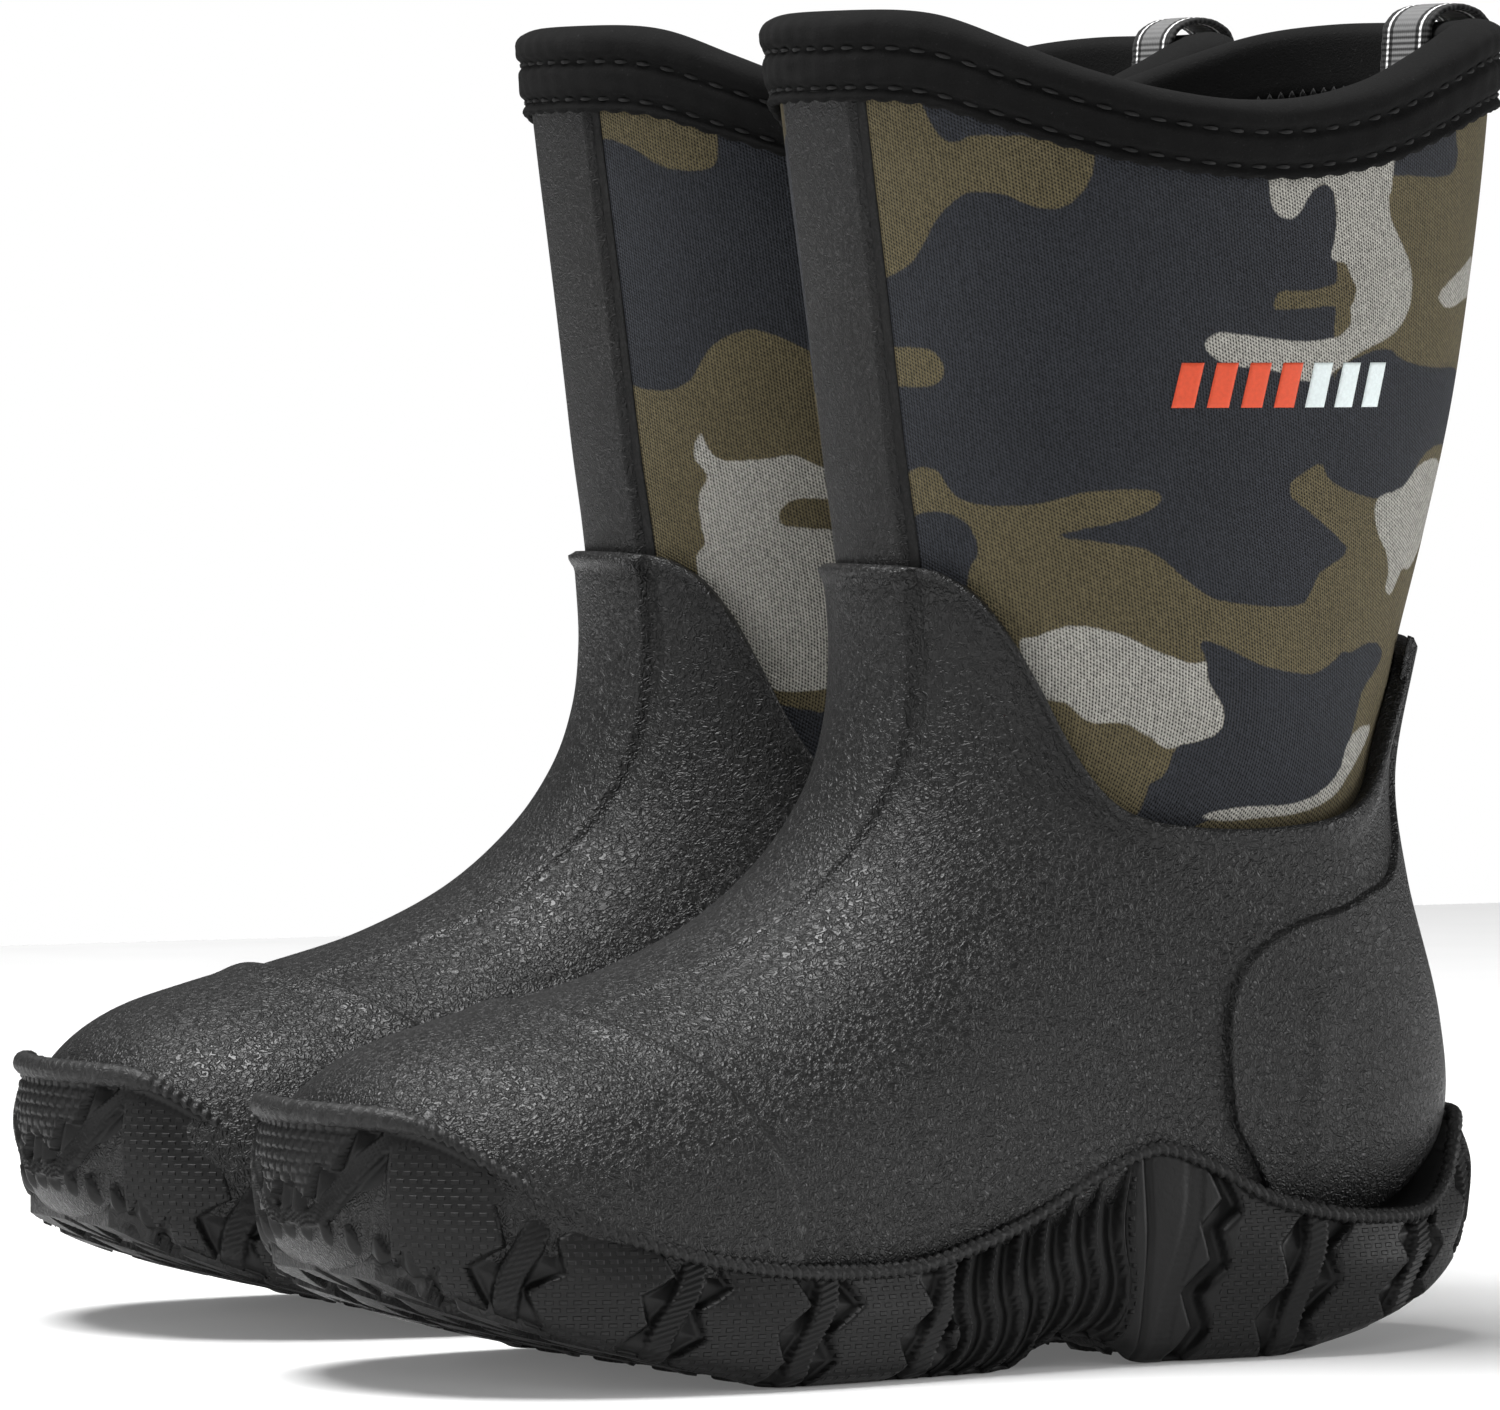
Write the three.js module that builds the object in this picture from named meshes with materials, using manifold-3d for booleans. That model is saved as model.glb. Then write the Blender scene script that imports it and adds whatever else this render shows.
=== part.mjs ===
// A pair of insulated rubber-and-neoprene hunting boots, child's size.
// Millimetres, +Z up, toes toward -X. The right boot mirrors the left one across the XZ plane.
// Every layer follows one foot-and-shaft surface, so neighbours keep the same clearance all over.
import * as THREE from 'three';
import Module from 'manifold-3d';

// ---- driving dimensions ----
const SOLE_LENGTH = 219;        // outsole, toe tip to heel tip
const SOLE_WIDTH = 89;          // outsole across the ball
const BOOT_HEIGHT = 217;        // front peak of the collar above the floor
const SHAFT_WIDTH = 94;         // neoprene shaft across the calf at the collar
const PAIR_SPACING = 104;       // centre line to centre line of the two boots
const STAGGER = 7;              // the right boot stands this much further back
const SPLAY_DEG = 2.2;          // each toe turned outward
const GAP = 0.3;                // clearance between neighbouring pieces
const NEOPRENE = 3.5;           // insulating bootie thickness
const LINING = 1.5;             // fleece lining thickness
const RUBBER = 2.3;             // moulded shell thickness
const OVERLAY = 1.0;            // toe cap and heel counter thickness
const MIDSOLE = 2.4;            // board between shell and outsole
const SHANK = 1.0;              // steel arch shank thickness
const FOOTBED = 4.0;            // removable footbed thickness
const BINDING_HEIGHT = 14;      // collar binding, outside leg
const BINDING_INSIDE = 12;      // collar binding, inside leg
const BINDING = 1.4;            // binding thickness
const DIP_NARROWS = 0.14;       // share that the binding narrows along the collar's dip
const DIP_X = 38;               // middle of the dip, from the ankle line
const DIP_REACH = 34;           // how far from there the binding is narrower
const STRIP_HALF = 11;          // half width of the shin strip
const REAR_HALF = 6;            // half width of the rear strip
const STRIP = 0.8;              // strip thickness
const STITCH_ROWS = [5.8, 12.2]; // stitch rows below the collar top
const WEBBING_WIDTH = 14;       // pull loop webbing
const WEBBING = 1.2;            // pull loop thickness
const LOOP_RISE = 5.5;          // pull loop arch above the rim
const LOOP_INSET = 0.8;         // least distance the flat inner leg stands off the binding
const COLUMNS = 24;             // facets round every layer

// Scales that stretch the hand-set tables when an overall size changes.
const SX = SOLE_LENGTH / 219;
const SY = SOLE_WIDTH / 89;
const SYTOP = SHAFT_WIDTH / 94;
const ANKLE_Z = 60;
const SZTOP = (BOOT_HEIGHT - ANKLE_Z) / (217 - ANKLE_Z);

// Loops round the foot and shaft, from toe tip (first) to above the collar (last):
// front x, front z, back x, back z, lateral half width, medial half width,
// front roundness, back roundness, place of the widest point from the back.
const LOOPS = [
  [-103, 29, -103, 29, 0, 0, 2.0, 2.6, 0.5],
  [-101.3, 38, -101, 22.5, 12, 14, 2.0, 2.6, 0.42],
  [-96.3, 45, -95.5, 19.5, 23, 25, 2.0, 2.8, 0.38],
  [-88, 50, -87, 16.5, 31, 32, 2.05, 3.0, 0.35],
  [-76, 53.5, -75, 14.5, 36.5, 36, 2.1, 3.2, 0.33],
  [-60, 57.5, -60, 11.2, 39, 38, 2.1, 3.4, 0.32],
  [-43, 62.5, -43, 8.8, 39.5, 37, 2.1, 3.4, 0.32],
  [-26.5, 70.5, -18, 8.4, 38, 34, 2.1, 3.4, 0.34],
  [-14, 81, 10, 13, 36, 32, 2.1, 3.2, 0.36],
  [-6.5, 92, 38, 14.5, 34, 31, 2.1, 3.0, 0.38],
  [-3, 103, 66, 14.8, 33, 31.5, 2.1, 2.9, 0.42],
  [-2, 114, 86, 19, 33, 32, 2.1, 2.6, 0.46],
  [-2.4, 124, 97.5, 32, 34, 33, 2.1, 2.4, 0.5],
  [-3.5, 134.5, 98, 48, 35, 34.5, 2.1, 2.2, 0.5],
  [-5, 146, 91.5, 70, 37, 36.5, 2.1, 2.1, 0.5],
  [-6.4, 158, 88.2, 89, 38.6, 38.2, 2.1, 2.1, 0.5],
  [-7.9, 170, 91.8, 109, 40.2, 40, 2.1, 2.1, 0.5],
  [-9.5, 182, 97.5, 130, 42.2, 42.2, 2.1, 2.1, 0.5],
  [-11, 193, 102.8, 152, 44, 44, 2.1, 2.1, 0.5],
  [-12.4, 204, 106.6, 176, 45.5, 45.5, 2.1, 2.1, 0.5],
  [-13.8, 215, 109.3, 199, 46.6, 46.6, 2.1, 2.1, 0.5],
  [-15, 226, 111, 223, 47.2, 47.2, 2.1, 2.1, 0.5],
].map(([xf, zf, xb, zb, wl, wm, nf, nb, mid], i) => {
  const side = i < 9 ? SY : SY + (SYTOP - SY) * (i - 9) / 12;
  return [xf * SX, stretch(zf), xb * SX, stretch(zb), wl * side, wm * side, nf, nb, mid];
});

// Lines seen from the side, as x, z pairs from front to back.
const COLLAR = sideLine([[-22, 216], [-14, 217], [-6, 216.2], [4, 211.8], [14, 207.8],
  [26, 204.6], [40, 202.8], [54, 203.4], [68, 206.4], [82, 211.4], [94, 215.4], [104, 217],
  [112, 217]]);
const SHELL_TOP = sideLine([[-20, 128], [-2, 128], [4, 125.5], [9, 119], [14, 109], [19, 98],
  [24, 90.5], [30, 87], [40, 85.5], [55, 85.5], [66, 87], [74, 92], [80, 101], [86, 110],
  [92, 115], [100, 116.5]]);
const SOLE_TOP = sideLine([[-114, 44], [-103, 43.5], [-97, 41], [-90, 36], [-80, 29.5],
  [-68, 24.5], [-52, 20.5], [-35, 18.5], [-18, 18.5], [-6, 21], [6, 25], [17, 30.5],
  [27, 34.5], [33, 35], [41, 32], [52, 26.5], [64, 23.5], [76, 22.5], [86, 23], [94, 26.5],
  [100, 32], [104, 36.5], [114, 37]]);
// The sole stands flat on the floor under the ball and under the heel block.
const SOLE_BOTTOM = sideLine([[-114, 25], [-104, 19], [-95, 14.5], [-80, 9], [-62, 4.3],
  [-50, 1.6], [-41, 0], [0, 0], [8, 3], [14, 4.5], [20, 4.3], [24, 2.5], [30, 0],
  [54, 0], [64, 1.8], [75, 4.2], [85, 7.5], [94, 12], [102, 17], [114, 25]]);
// Back edge of the toe cap, as z, x pairs from the sole up to the ridge.
const CAP_EDGE = [[0, -36], [27, -37], [38, -42], [50, -52], [62, -72], [80, -90]]
  .map(([z, x]) => [z, x * SX]);
// Outline of the heel counter seen from the side.
const COUNTER = [[50, 6], [47, 30], [44, 45], [44, 58], [48, 66], [56, 71], [68, 74.5],
  [84, 80], [130, 88], [130, 6]].map(([x, z]) => [x * SX, stretch(z)]);
// Outsole outline from above: x, lateral y, medial y, between the two tips.
const OUTLINE = [[-109, -2, 4], [-108, -9, 11], [-105, -18, 20], [-100, -26, 27.5],
  [-93, -33, 33.5], [-83, -39, 38.5], [-70, -43, 42], [-55, -45, 43.5], [-38, -45, 43],
  [-20, -43, 40], [-2, -40.5, 37.5], [16, -38.5, 36], [34, -38, 36], [52, -38.5, 36.5],
  [68, -38.5, 37], [82, -35.5, 34.5], [93, -30, 29.5], [101, -22.5, 22], [106.5, -14, 14],
  [109, -6, 6]].map(([x, lateral, medial]) => [x * SX, lateral * SY, medial * SY]);

function stretch(z) {
  return z <= ANKLE_Z ? z : ANKLE_Z + (z - ANKLE_Z) * SZTOP;
}

function sideLine(points) {
  const scaled = points.map(([x, z]) => [x * SX, stretch(z)]);
  return scaled;
}

// Height of a side line at x, straight between its points and level beyond its ends.
function lineAt(line, x) {
  if (x <= line[0][0]) return line[0][1];
  for (let i = 1; i < line.length; i += 1) {
    const [x0, z0] = line[i - 1];
    const [x1, z1] = line[i];
    if (x <= x1) return z0 + (z1 - z0) * (x - x0) / (x1 - x0);
  }
  return line[line.length - 1][1];
}

// One row of loop numbers at any place u, by a cubic through the neighbouring rows.
// The row before the toe tip mirrors the row after it, so the tip closes roundly.
const EVEN = [1, 0, 1, 0, 0, 0, 1, 1, 1];
function loopAt(u) {
  const last = LOOPS.length - 1;
  const i = Math.min(Math.floor(Math.max(u, 0)), last - 1);
  const f = Math.min(Math.max(u, 0), last) - i;
  const row = (k, c) => {
    if (k < 0) return EVEN[c] ? LOOPS[1][c] : 2 * LOOPS[0][c] - LOOPS[1][c];
    if (k > last) return 2 * LOOPS[last][c] - LOOPS[last - 1][c];
    return LOOPS[k][c];
  };
  return EVEN.map((_, c) => {
    const m1 = (row(i + 1, c) - row(i - 1, c)) / 2;
    const m2 = (row(i + 2, c) - row(i, c)) / 2;
    return (2 * f ** 3 - 3 * f ** 2 + 1) * row(i, c) + (f ** 3 - 2 * f ** 2 + f) * m1
      + (3 * f ** 2 - 2 * f ** 3) * row(i + 1, c) + (f ** 3 - f ** 2) * m2;
  });
}

// Outside of the neoprene bootie. turn 0 is the front and top line, half a turn the back
// and sole line, and the lateral side lies between them on -Y.
function surface(u, turn) {
  const [xf, zf, xb, zb, lateral, medial, nf, nb, mid] = loopAt(u);
  const c = Math.cos(turn);
  const s = Math.sin(turn);
  const k = 0.5 - 0.5 * c;
  const n = nf + (nb - nf) * k * k * (3 - 2 * k);
  const r = (Math.abs(c) ** n + Math.abs(s) ** n) ** (-1 / n);
  const along = c > 0 ? mid + (1 - mid) * r * c : mid + mid * r * c;
  const width = s > 0 ? lateral : medial;
  return new THREE.Vector3(xb + (xf - xb) * along, -width * r * s, zb + (zf - zb) * along);
}

// The same surface moved outward along its own normal.
function smoothLayer(u, turn, out) {
  const base = surface(u, turn);
  if (u < 1e-6) return base.add(new THREE.Vector3(-out, 0, 0));
  const step = 0.02;
  const alongU = surface(u + step, turn).sub(surface(Math.max(u - step, 0), turn));
  const alongTurn = surface(u, turn + step).sub(surface(u, turn - step));
  return base.addScaledVector(alongTurn.cross(alongU).normalize(), out);
}

// The moved surface, straight between the fixed rows. Every layer shares these rows, so
// trimmed neighbours stay parallel and never cut into each other.
const ROWS = [0, 0.5, 1, 1.6, 2.3, 3.2, 4.4, 6, 7.5, 9, 10, 10.6, 11.3, 12, 13, 14, 15, 16,
  17.5, 19, 20.5, 21];
function layer(u, turn, out) {
  const i = Math.min(Math.max(ROWS.findIndex((row) => row >= u), 1), ROWS.length - 1);
  const share = (u - ROWS[i - 1]) / (ROWS[i] - ROWS[i - 1]);
  return smoothLayer(ROWS[i - 1], turn, out).lerp(smoothLayer(ROWS[i], turn, out), share);
}

// Place u where a side condition changes sign, by halving; above(u) is false at the low end.
function findU(turn, low, high, above) {
  let lo = low;
  let hi = high;
  for (let i = 0; i < 40; i += 1) {
    const mid = (lo + hi) / 2;
    if (above(layer(mid, turn, 0))) hi = mid;
    else lo = mid;
  }
  return (lo + hi) / 2;
}

const overLine = (line, shift) => (p) => p.z > lineAt(line, p.x) + shift;
// The binding is pulled in along the dip of the collar, so every drop is a little less there.
const pulledIn = (x) => 1 - DIP_NARROWS * Math.exp(-(((x / SX - DIP_X) / DIP_REACH) ** 2));
const collarU = (turn, drop) => findU(turn, 9, 21,
  (p) => p.z > lineAt(COLLAR, p.x) - drop * pulledIn(p.x));
const shellU = (turn, shift) => findU(turn, 8, 20, overLine(SHELL_TOP, shift));

// ---- sheets: columns of places (u, turn), joined into triangles ----
const TURNS = Array.from({ length: COLUMNS }, (_, i) => (i / COLUMNS) * 2 * Math.PI);

// Fixed rows between low and high, plus the two ends themselves.
function rowsBetween(low, high) {
  const inner = ROWS.filter((u) => u > low + 0.01 && u < high - 0.01);
  return [low, ...inner, high];
}

// Triangles between neighbouring columns; both run from low u to high u.
function joinColumns(columns, closed, tip) {
  const places = [];
  const ids = columns.map((column) => column.map((place) => {
    if (tip && place.u < 1e-6 && places.length > 0) return 0;
    places.push(place);
    return places.length - 1;
  }));
  const triangles = [];
  const count = closed ? columns.length : columns.length - 1;
  for (let j = 0; j < count; j += 1) {
    const a = ids[j];
    const b = ids[(j + 1) % columns.length];
    const ca = columns[j];
    const cb = columns[(j + 1) % columns.length];
    let p = 0;
    let q = 0;
    while (p < a.length - 1 || q < b.length - 1) {
      const stepA = q === b.length - 1 || (p < a.length - 1 && ca[p + 1].u <= cb[q + 1].u);
      const next = stepA ? [a[p], a[p + 1], b[q]] : [a[p], b[q + 1], b[q]];
      if (new Set(next).size === 3) triangles.push(next);
      if (stepA) p += 1;
      else q += 1;
    }
  }
  return { places, triangles };
}

// A closed body between two distances from the surface, with walls round every edge.
function thicken(sheet, inside, outside) {
  const n = sheet.places.length;
  const at = (out) => sheet.places.map(({ u, turn }) => layer(u, turn, out));
  const points = [...at(outside), ...at(inside)];
  const faces = [];
  const seen = new Set();
  sheet.triangles.forEach(([a, b, c]) => {
    faces.push([a, b, c], [a + n, c + n, b + n]);
    [[a, b], [b, c], [c, a]].forEach(([s, t]) => seen.add(s * n + t));
  });
  seen.forEach((key) => {
    const s = Math.floor(key / n);
    const t = key % n;
    if (!seen.has(t * n + s)) faces.push([t, s, s + n], [t, s + n, t + n]);
  });
  return { points, faces };
}

// A cup from the toe tip up to a trim line.
function cup(inside, outside, topU) {
  const columns = TURNS.map((turn) => rowsBetween(0, topU(turn)).map((u) => ({ u, turn })));
  return thicken(joinColumns(columns, true, true), inside, outside);
}

// A band right round the boot between two trim lines.
function band(inside, outside, lowU, highU) {
  const columns = TURNS.map((turn) => rowsBetween(lowU(turn), highU(turn))
    .map((u) => ({ u, turn })));
  return thicken(joinColumns(columns, true, false), inside, outside);
}

// A pad on the sole side, between two places along the foot and a number of columns each way.
// A pocket takes one more narrow column at each side, a pad inside another loses a little.
function solePad(inside, outside, low, high, steps, extra) {
  const shares = [];
  for (let k = -steps; k <= steps; k += 1) shares.push((k / COLUMNS) * 2 * Math.PI);
  const end = shares[shares.length - 1] + extra;
  const kept = extra < 0 ? shares.slice(1, -1) : shares;
  const turns = extra === 0 ? shares : [-end, ...kept, end];
  const columns = turns.map((share) => {
    const turn = Math.PI + share;
    return rowsBetween(low, high).map((u) => ({ u, turn }));
  });
  return thicken(joinColumns(columns, false, false), inside, outside);
}

// A straight strip of even width up the front (centre 0) or back (centre half a turn).
function strip(inside, outside, half, centre, lowU, highU) {
  const columns = [-1, -0.5, 0, 0.5, 1].map((t) => {
    const turnAt = (u) => {
      const [, , , , lateral, medial] = loopAt(u);
      const width = t > 0 ? lateral : medial;
      return centre === 0 ? Math.asin(t * half / width) : Math.PI + Math.asin(t * half / width);
    };
    const low = lowU(turnAt(14));
    const high = highU(turnAt(19));
    return rowsBetween(low, high).map((u) => ({ u, turn: turnAt(u) }));
  });
  return thicken(joinColumns(columns, false, false), inside, outside);
}

// A ring round the collar from a cross section of (distance out, height under the collar line).
function collarRing(section) {
  const points = [];
  TURNS.forEach((turn) => {
    section.forEach(([out, drop]) => points.push(layer(collarU(turn, drop), turn, out)));
  });
  const m = section.length;
  const faces = [];
  TURNS.forEach((_, j) => {
    const next = (j + 1) % TURNS.length;
    for (let k = 0; k < m; k += 1) {
      const kk = (k + 1) % m;
      const [a, b, c, d] = [j * m + k, j * m + kk, next * m + kk, next * m + k];
      faces.push([a, c, b], [a, d, c]);
    }
  });
  return { points, faces };
}

// ---- outsole: loops round the outline, each moved inward and set to its own height ----
function outlineLoop(inward, heightAt) {
  const lateral = OUTLINE.map(([x, y]) => new THREE.Vector2(x, y));
  const medial = OUTLINE.map(([x, , y]) => new THREE.Vector2(x, y)).reverse();
  const loop = [...lateral, ...medial];
  return loop.map((p, i) => {
    const before = loop[(i + loop.length - 1) % loop.length];
    const after = loop[(i + 1) % loop.length];
    const way = after.clone().sub(before).normalize();
    const moved = new THREE.Vector2(p.x - way.y * inward, p.y + way.x * inward);
    return new THREE.Vector3(moved.x, moved.y, heightAt(moved.x, p.x));
  });
}

function outsoleBlock(raise) {
  const low = (x) => lineAt(SOLE_BOTTOM, x);
  const high = (x) => lineAt(SOLE_TOP, x) + raise;
  const side = (share) => (x, own) => low(own) + (high(own) - low(own)) * share;
  const loops = [
    outlineLoop(5 - raise, (x) => low(x) - raise),
    outlineLoop(1.6 - raise, (x, own) => low(own) + 2.2),
    outlineLoop(-raise, side(0.6)),
    outlineLoop(1.2 - raise, (x, own) => high(own) - 2.6),
    outlineLoop(1.8 - raise, (x, own) => high(own) - 0.5),
    outlineLoop(3, (x, own) => high(own)),
    outlineLoop(13, (x, own) => high(own)),
  ];
  const n = loops[0].length;
  const points = loops.flat();
  const faces = [];
  for (let r = 0; r < loops.length - 1; r += 1) {
    for (let i = 0; i < n; i += 1) {
      const next = (i + 1) % n;
      faces.push([r * n + i, r * n + next, (r + 1) * n + next]);
      faces.push([r * n + i, (r + 1) * n + next, (r + 1) * n + i]);
    }
  }
  const top = (loops.length - 1) * n;
  for (let i = 0; i < n / 2 - 1; i += 1) {
    const j = n - 1 - i;
    faces.push([i, j, j - 1], [i, j - 1, i + 1]);
    faces.push([top + i, top + j - 1, top + j], [top + i, top + i + 1, top + j - 1]);
  }
  return { points, faces };
}

// A prism across the boot from an outline seen from the side, given clockwise.
function sidePrism(clockwise, reach) {
  const outline = [...clockwise].reverse();
  const n = outline.length;
  const points = [];
  outline.forEach(([x, z]) => points.push(new THREE.Vector3(x, -reach, z)));
  outline.forEach(([x, z]) => points.push(new THREE.Vector3(x, reach, z)));
  const flat = THREE.ShapeUtils.triangulateShape(
    outline.map(([x, z]) => new THREE.Vector2(x, z)),
    [],
  );
  const faces = [];
  flat.forEach((corner) => {
    const [p, q, r] = corner.map((i) => outline[i]);
    const turn = (q[0] - p[0]) * (r[1] - p[1]) - (q[1] - p[1]) * (r[0] - p[0]);
    const [a, b, c] = turn > 0 ? corner : [...corner].reverse();
    faces.push([a, b, c], [a + n, c + n, b + n]);
  });
  for (let i = 0; i < n; i += 1) {
    const j = (i + 1) % n;
    faces.push([j, i, i + n], [j, i + n, j + n]);
  }
  return { points, faces };
}

// How far the curved inside of the collar comes forward at the edges of a flat strap.
function strapSag(out, drop) {
  const middle = layer(collarU(Math.PI, drop), Math.PI, out);
  const deeper = layer(collarU(Math.PI, drop), Math.PI, out - 1);
  const turn = Math.PI + (2 * Math.PI) / COLUMNS;
  const across = layer(collarU(turn, drop), turn, out).sub(middle);
  return across.dot(deeper.sub(middle)) * (WEBBING_WIDTH / 2 / Math.abs(across.y));
}

// ---- pull loop: a flat strap following a path in the boot's centre plane at the back ----
function pullLoop(inside) {
  const foot = layer(collarU(Math.PI, inside.drop), Math.PI, inside.out);
  const path = [foot, layer(collarU(Math.PI, 4), Math.PI, inside.out)];
  const rimIn = layer(collarU(Math.PI, 2), Math.PI, inside.out);
  const rimOut = layer(collarU(Math.PI, 2), Math.PI, inside.far);
  const centre = rimIn.clone().add(rimOut).multiplyScalar(0.5);
  const radius = rimIn.distanceTo(rimOut) / 2;
  const rise = LOOP_RISE + 2 + WEBBING / 2;
  for (let k = 0; k <= 8; k += 1) {
    const a = Math.PI - (k / 8) * Math.PI;
    path.push(new THREE.Vector3(
      centre.x + radius * Math.cos(a),
      0,
      centre.z + rise * Math.sin(a),
    ));
  }
  path.push(layer(collarU(Math.PI, 4), Math.PI, inside.far));
  path.push(layer(collarU(Math.PI, inside.drop - 1), Math.PI, inside.far));
  const points = [];
  path.forEach((p, i) => {
    const before = path[Math.max(i - 1, 0)];
    const after = path[Math.min(i + 1, path.length - 1)];
    const way = after.clone().sub(before).normalize();
    const side = new THREE.Vector3(-way.z, 0, way.x).multiplyScalar(WEBBING / 2);
    [[1, -1], [1, 1], [-1, 1], [-1, -1]].forEach(([s, y]) => {
      points.push(p.clone().addScaledVector(side, s)
        .add(new THREE.Vector3(0, y * WEBBING_WIDTH / 2, 0)));
    });
  });
  const faces = [[0, 1, 2], [0, 2, 3]];
  for (let i = 0; i < path.length - 1; i += 1) {
    for (let k = 0; k < 4; k += 1) {
      const a = i * 4 + k;
      const b = i * 4 + ((k + 1) % 4);
      faces.push([a, a + 4, b + 4], [a, b + 4, b]);
    }
  }
  const e = (path.length - 1) * 4;
  faces.push([e, e + 2, e + 1], [e, e + 3, e + 2]);
  return { points, faces };
}

// ---- joining and cutting ----
const wasm = await Module();
wasm.setup();

function signedVolume(body) {
  return body.faces.reduce((sum, [a, b, c]) => {
    const [p, q, r] = [body.points[a], body.points[b], body.points[c]];
    return sum + p.dot(new THREE.Vector3().crossVectors(q, r)) / 6;
  }, 0);
}

function toSolid(body) {
  const flip = signedVolume(body) < 0;
  const faces = flip ? body.faces.map(([a, b, c]) => [a, c, b]) : body.faces;
  const mesh = new wasm.Mesh({
    numProp: 3,
    vertProperties: new Float32Array(body.points.flatMap((p) => [p.x, p.y, p.z])),
    triVerts: new Uint32Array(faces.flat()),
  });
  return new wasm.Manifold(mesh);
}

// The largest piece left by a cut, as plain points and faces.
function fromSolid(solid) {
  const pieces = solid.decompose();
  pieces.sort((a, b) => b.volume() - a.volume());
  const mesh = pieces[0].getMesh();
  const points = [];
  for (let i = 0; i < mesh.vertProperties.length; i += mesh.numProp) {
    const [x, y, z] = mesh.vertProperties.slice(i, i + 3);
    points.push(new THREE.Vector3(x, y, z));
  }
  const faces = [];
  for (let i = 0; i < mesh.triVerts.length; i += 3) {
    faces.push([mesh.triVerts[i], mesh.triVerts[i + 1], mesh.triVerts[i + 2]]);
  }
  return { points, faces };
}

// ---- the pieces of one boot ----
const IN_NEOPRENE = -NEOPRENE;
const OUT_LINING = IN_NEOPRENE - GAP;
const IN_LINING = OUT_LINING - LINING;
const OUT_SHELL = GAP + RUBBER;
const OUT_CUP = OUT_SHELL + GAP;
const RIM_TUCK = 2.8;
const IN_OVERLAY = OUT_CUP + 0.15;

const bootBody = toSolid(cup(-6, OUT_CUP, () => 16)).add(
  toSolid(cup(-24, -5.5, () => 15.9)),
);
const overCup = toSolid(cup(-5, OUT_CUP, () => 16));

const shankPocket = toSolid(solePad(GAP, OUT_CUP + SHANK + GAP, 7.4, 9.1, 1, 0.03));
const midsoleBoard = toSolid(solePad(OUT_CUP, OUT_CUP + MIDSOLE, 4.4, 10, 3, 0));
const midsolePocket = toSolid(solePad(GAP, OUT_CUP + MIDSOLE + GAP, 4.38, 10.06, 3, 0.02));

const midsole = fromSolid(midsoleBoard.subtract(shankPocket));
const outsole = fromSolid(
  toSolid(outsoleBlock(0)).subtract(bootBody).subtract(overCup).subtract(midsolePocket),
);

const overSole = toSolid(outsoleBlock(GAP));
const capEdgeX = (z) => lineAt(CAP_EDGE, z);
const capSheet = cup(
  IN_OVERLAY,
  IN_OVERLAY + OVERLAY,
  (turn) => findU(turn, 0, 9, (p) => p.x > capEdgeX(p.z)),
);
const toeCap = fromSolid(toSolid(capSheet).subtract(overSole));
const counterBand = band(IN_OVERLAY, IN_OVERLAY + OVERLAY, () => 7.5, () => 16);
const heelCounter = fromSolid(
  toSolid(counterBand).intersect(toSolid(sidePrism(COUNTER, 90))).subtract(overSole),
);

const rimU = (turn) => collarU(turn, RIM_TUCK);
const bindLow = (turn) => collarU(turn, BINDING_HEIGHT);
const legOut = GAP + BINDING;
const legIn = IN_LINING - GAP - BINDING;
const bindingSection = [
  [GAP, BINDING_HEIGHT], [GAP, RIM_TUCK - GAP], [IN_LINING - GAP, RIM_TUCK - GAP],
  [IN_LINING - GAP, BINDING_INSIDE], [legIn, BINDING_INSIDE], [legIn, 2.4],
  [legIn + 1.2, 0.6], [-2.7, 0], [legOut - 1.4, 0.6], [legOut, 2.2], [legOut, BINDING_HEIGHT],
];
const stitchRing = (drop) => collarRing([
  [legOut + GAP, drop + 0.4], [legOut + GAP, drop - 0.4],
  [legOut + GAP + 0.5, drop - 0.4], [legOut + GAP + 0.5, drop + 0.4],
]);

// The strap is flat and the collar curves, so its edges keep at least half a gap.
const strapInset = Math.max(
  LOOP_INSET,
  strapSag(legIn, 2.4) - GAP / 2,
  strapSag(legIn, BINDING_INSIDE) - GAP / 2,
);
const loopStrap = pullLoop({
  out: legIn - GAP - strapInset - WEBBING / 2,
  far: legOut + GAP + 0.5 + GAP + WEBBING / 2,
  drop: 14.5,
});

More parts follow.
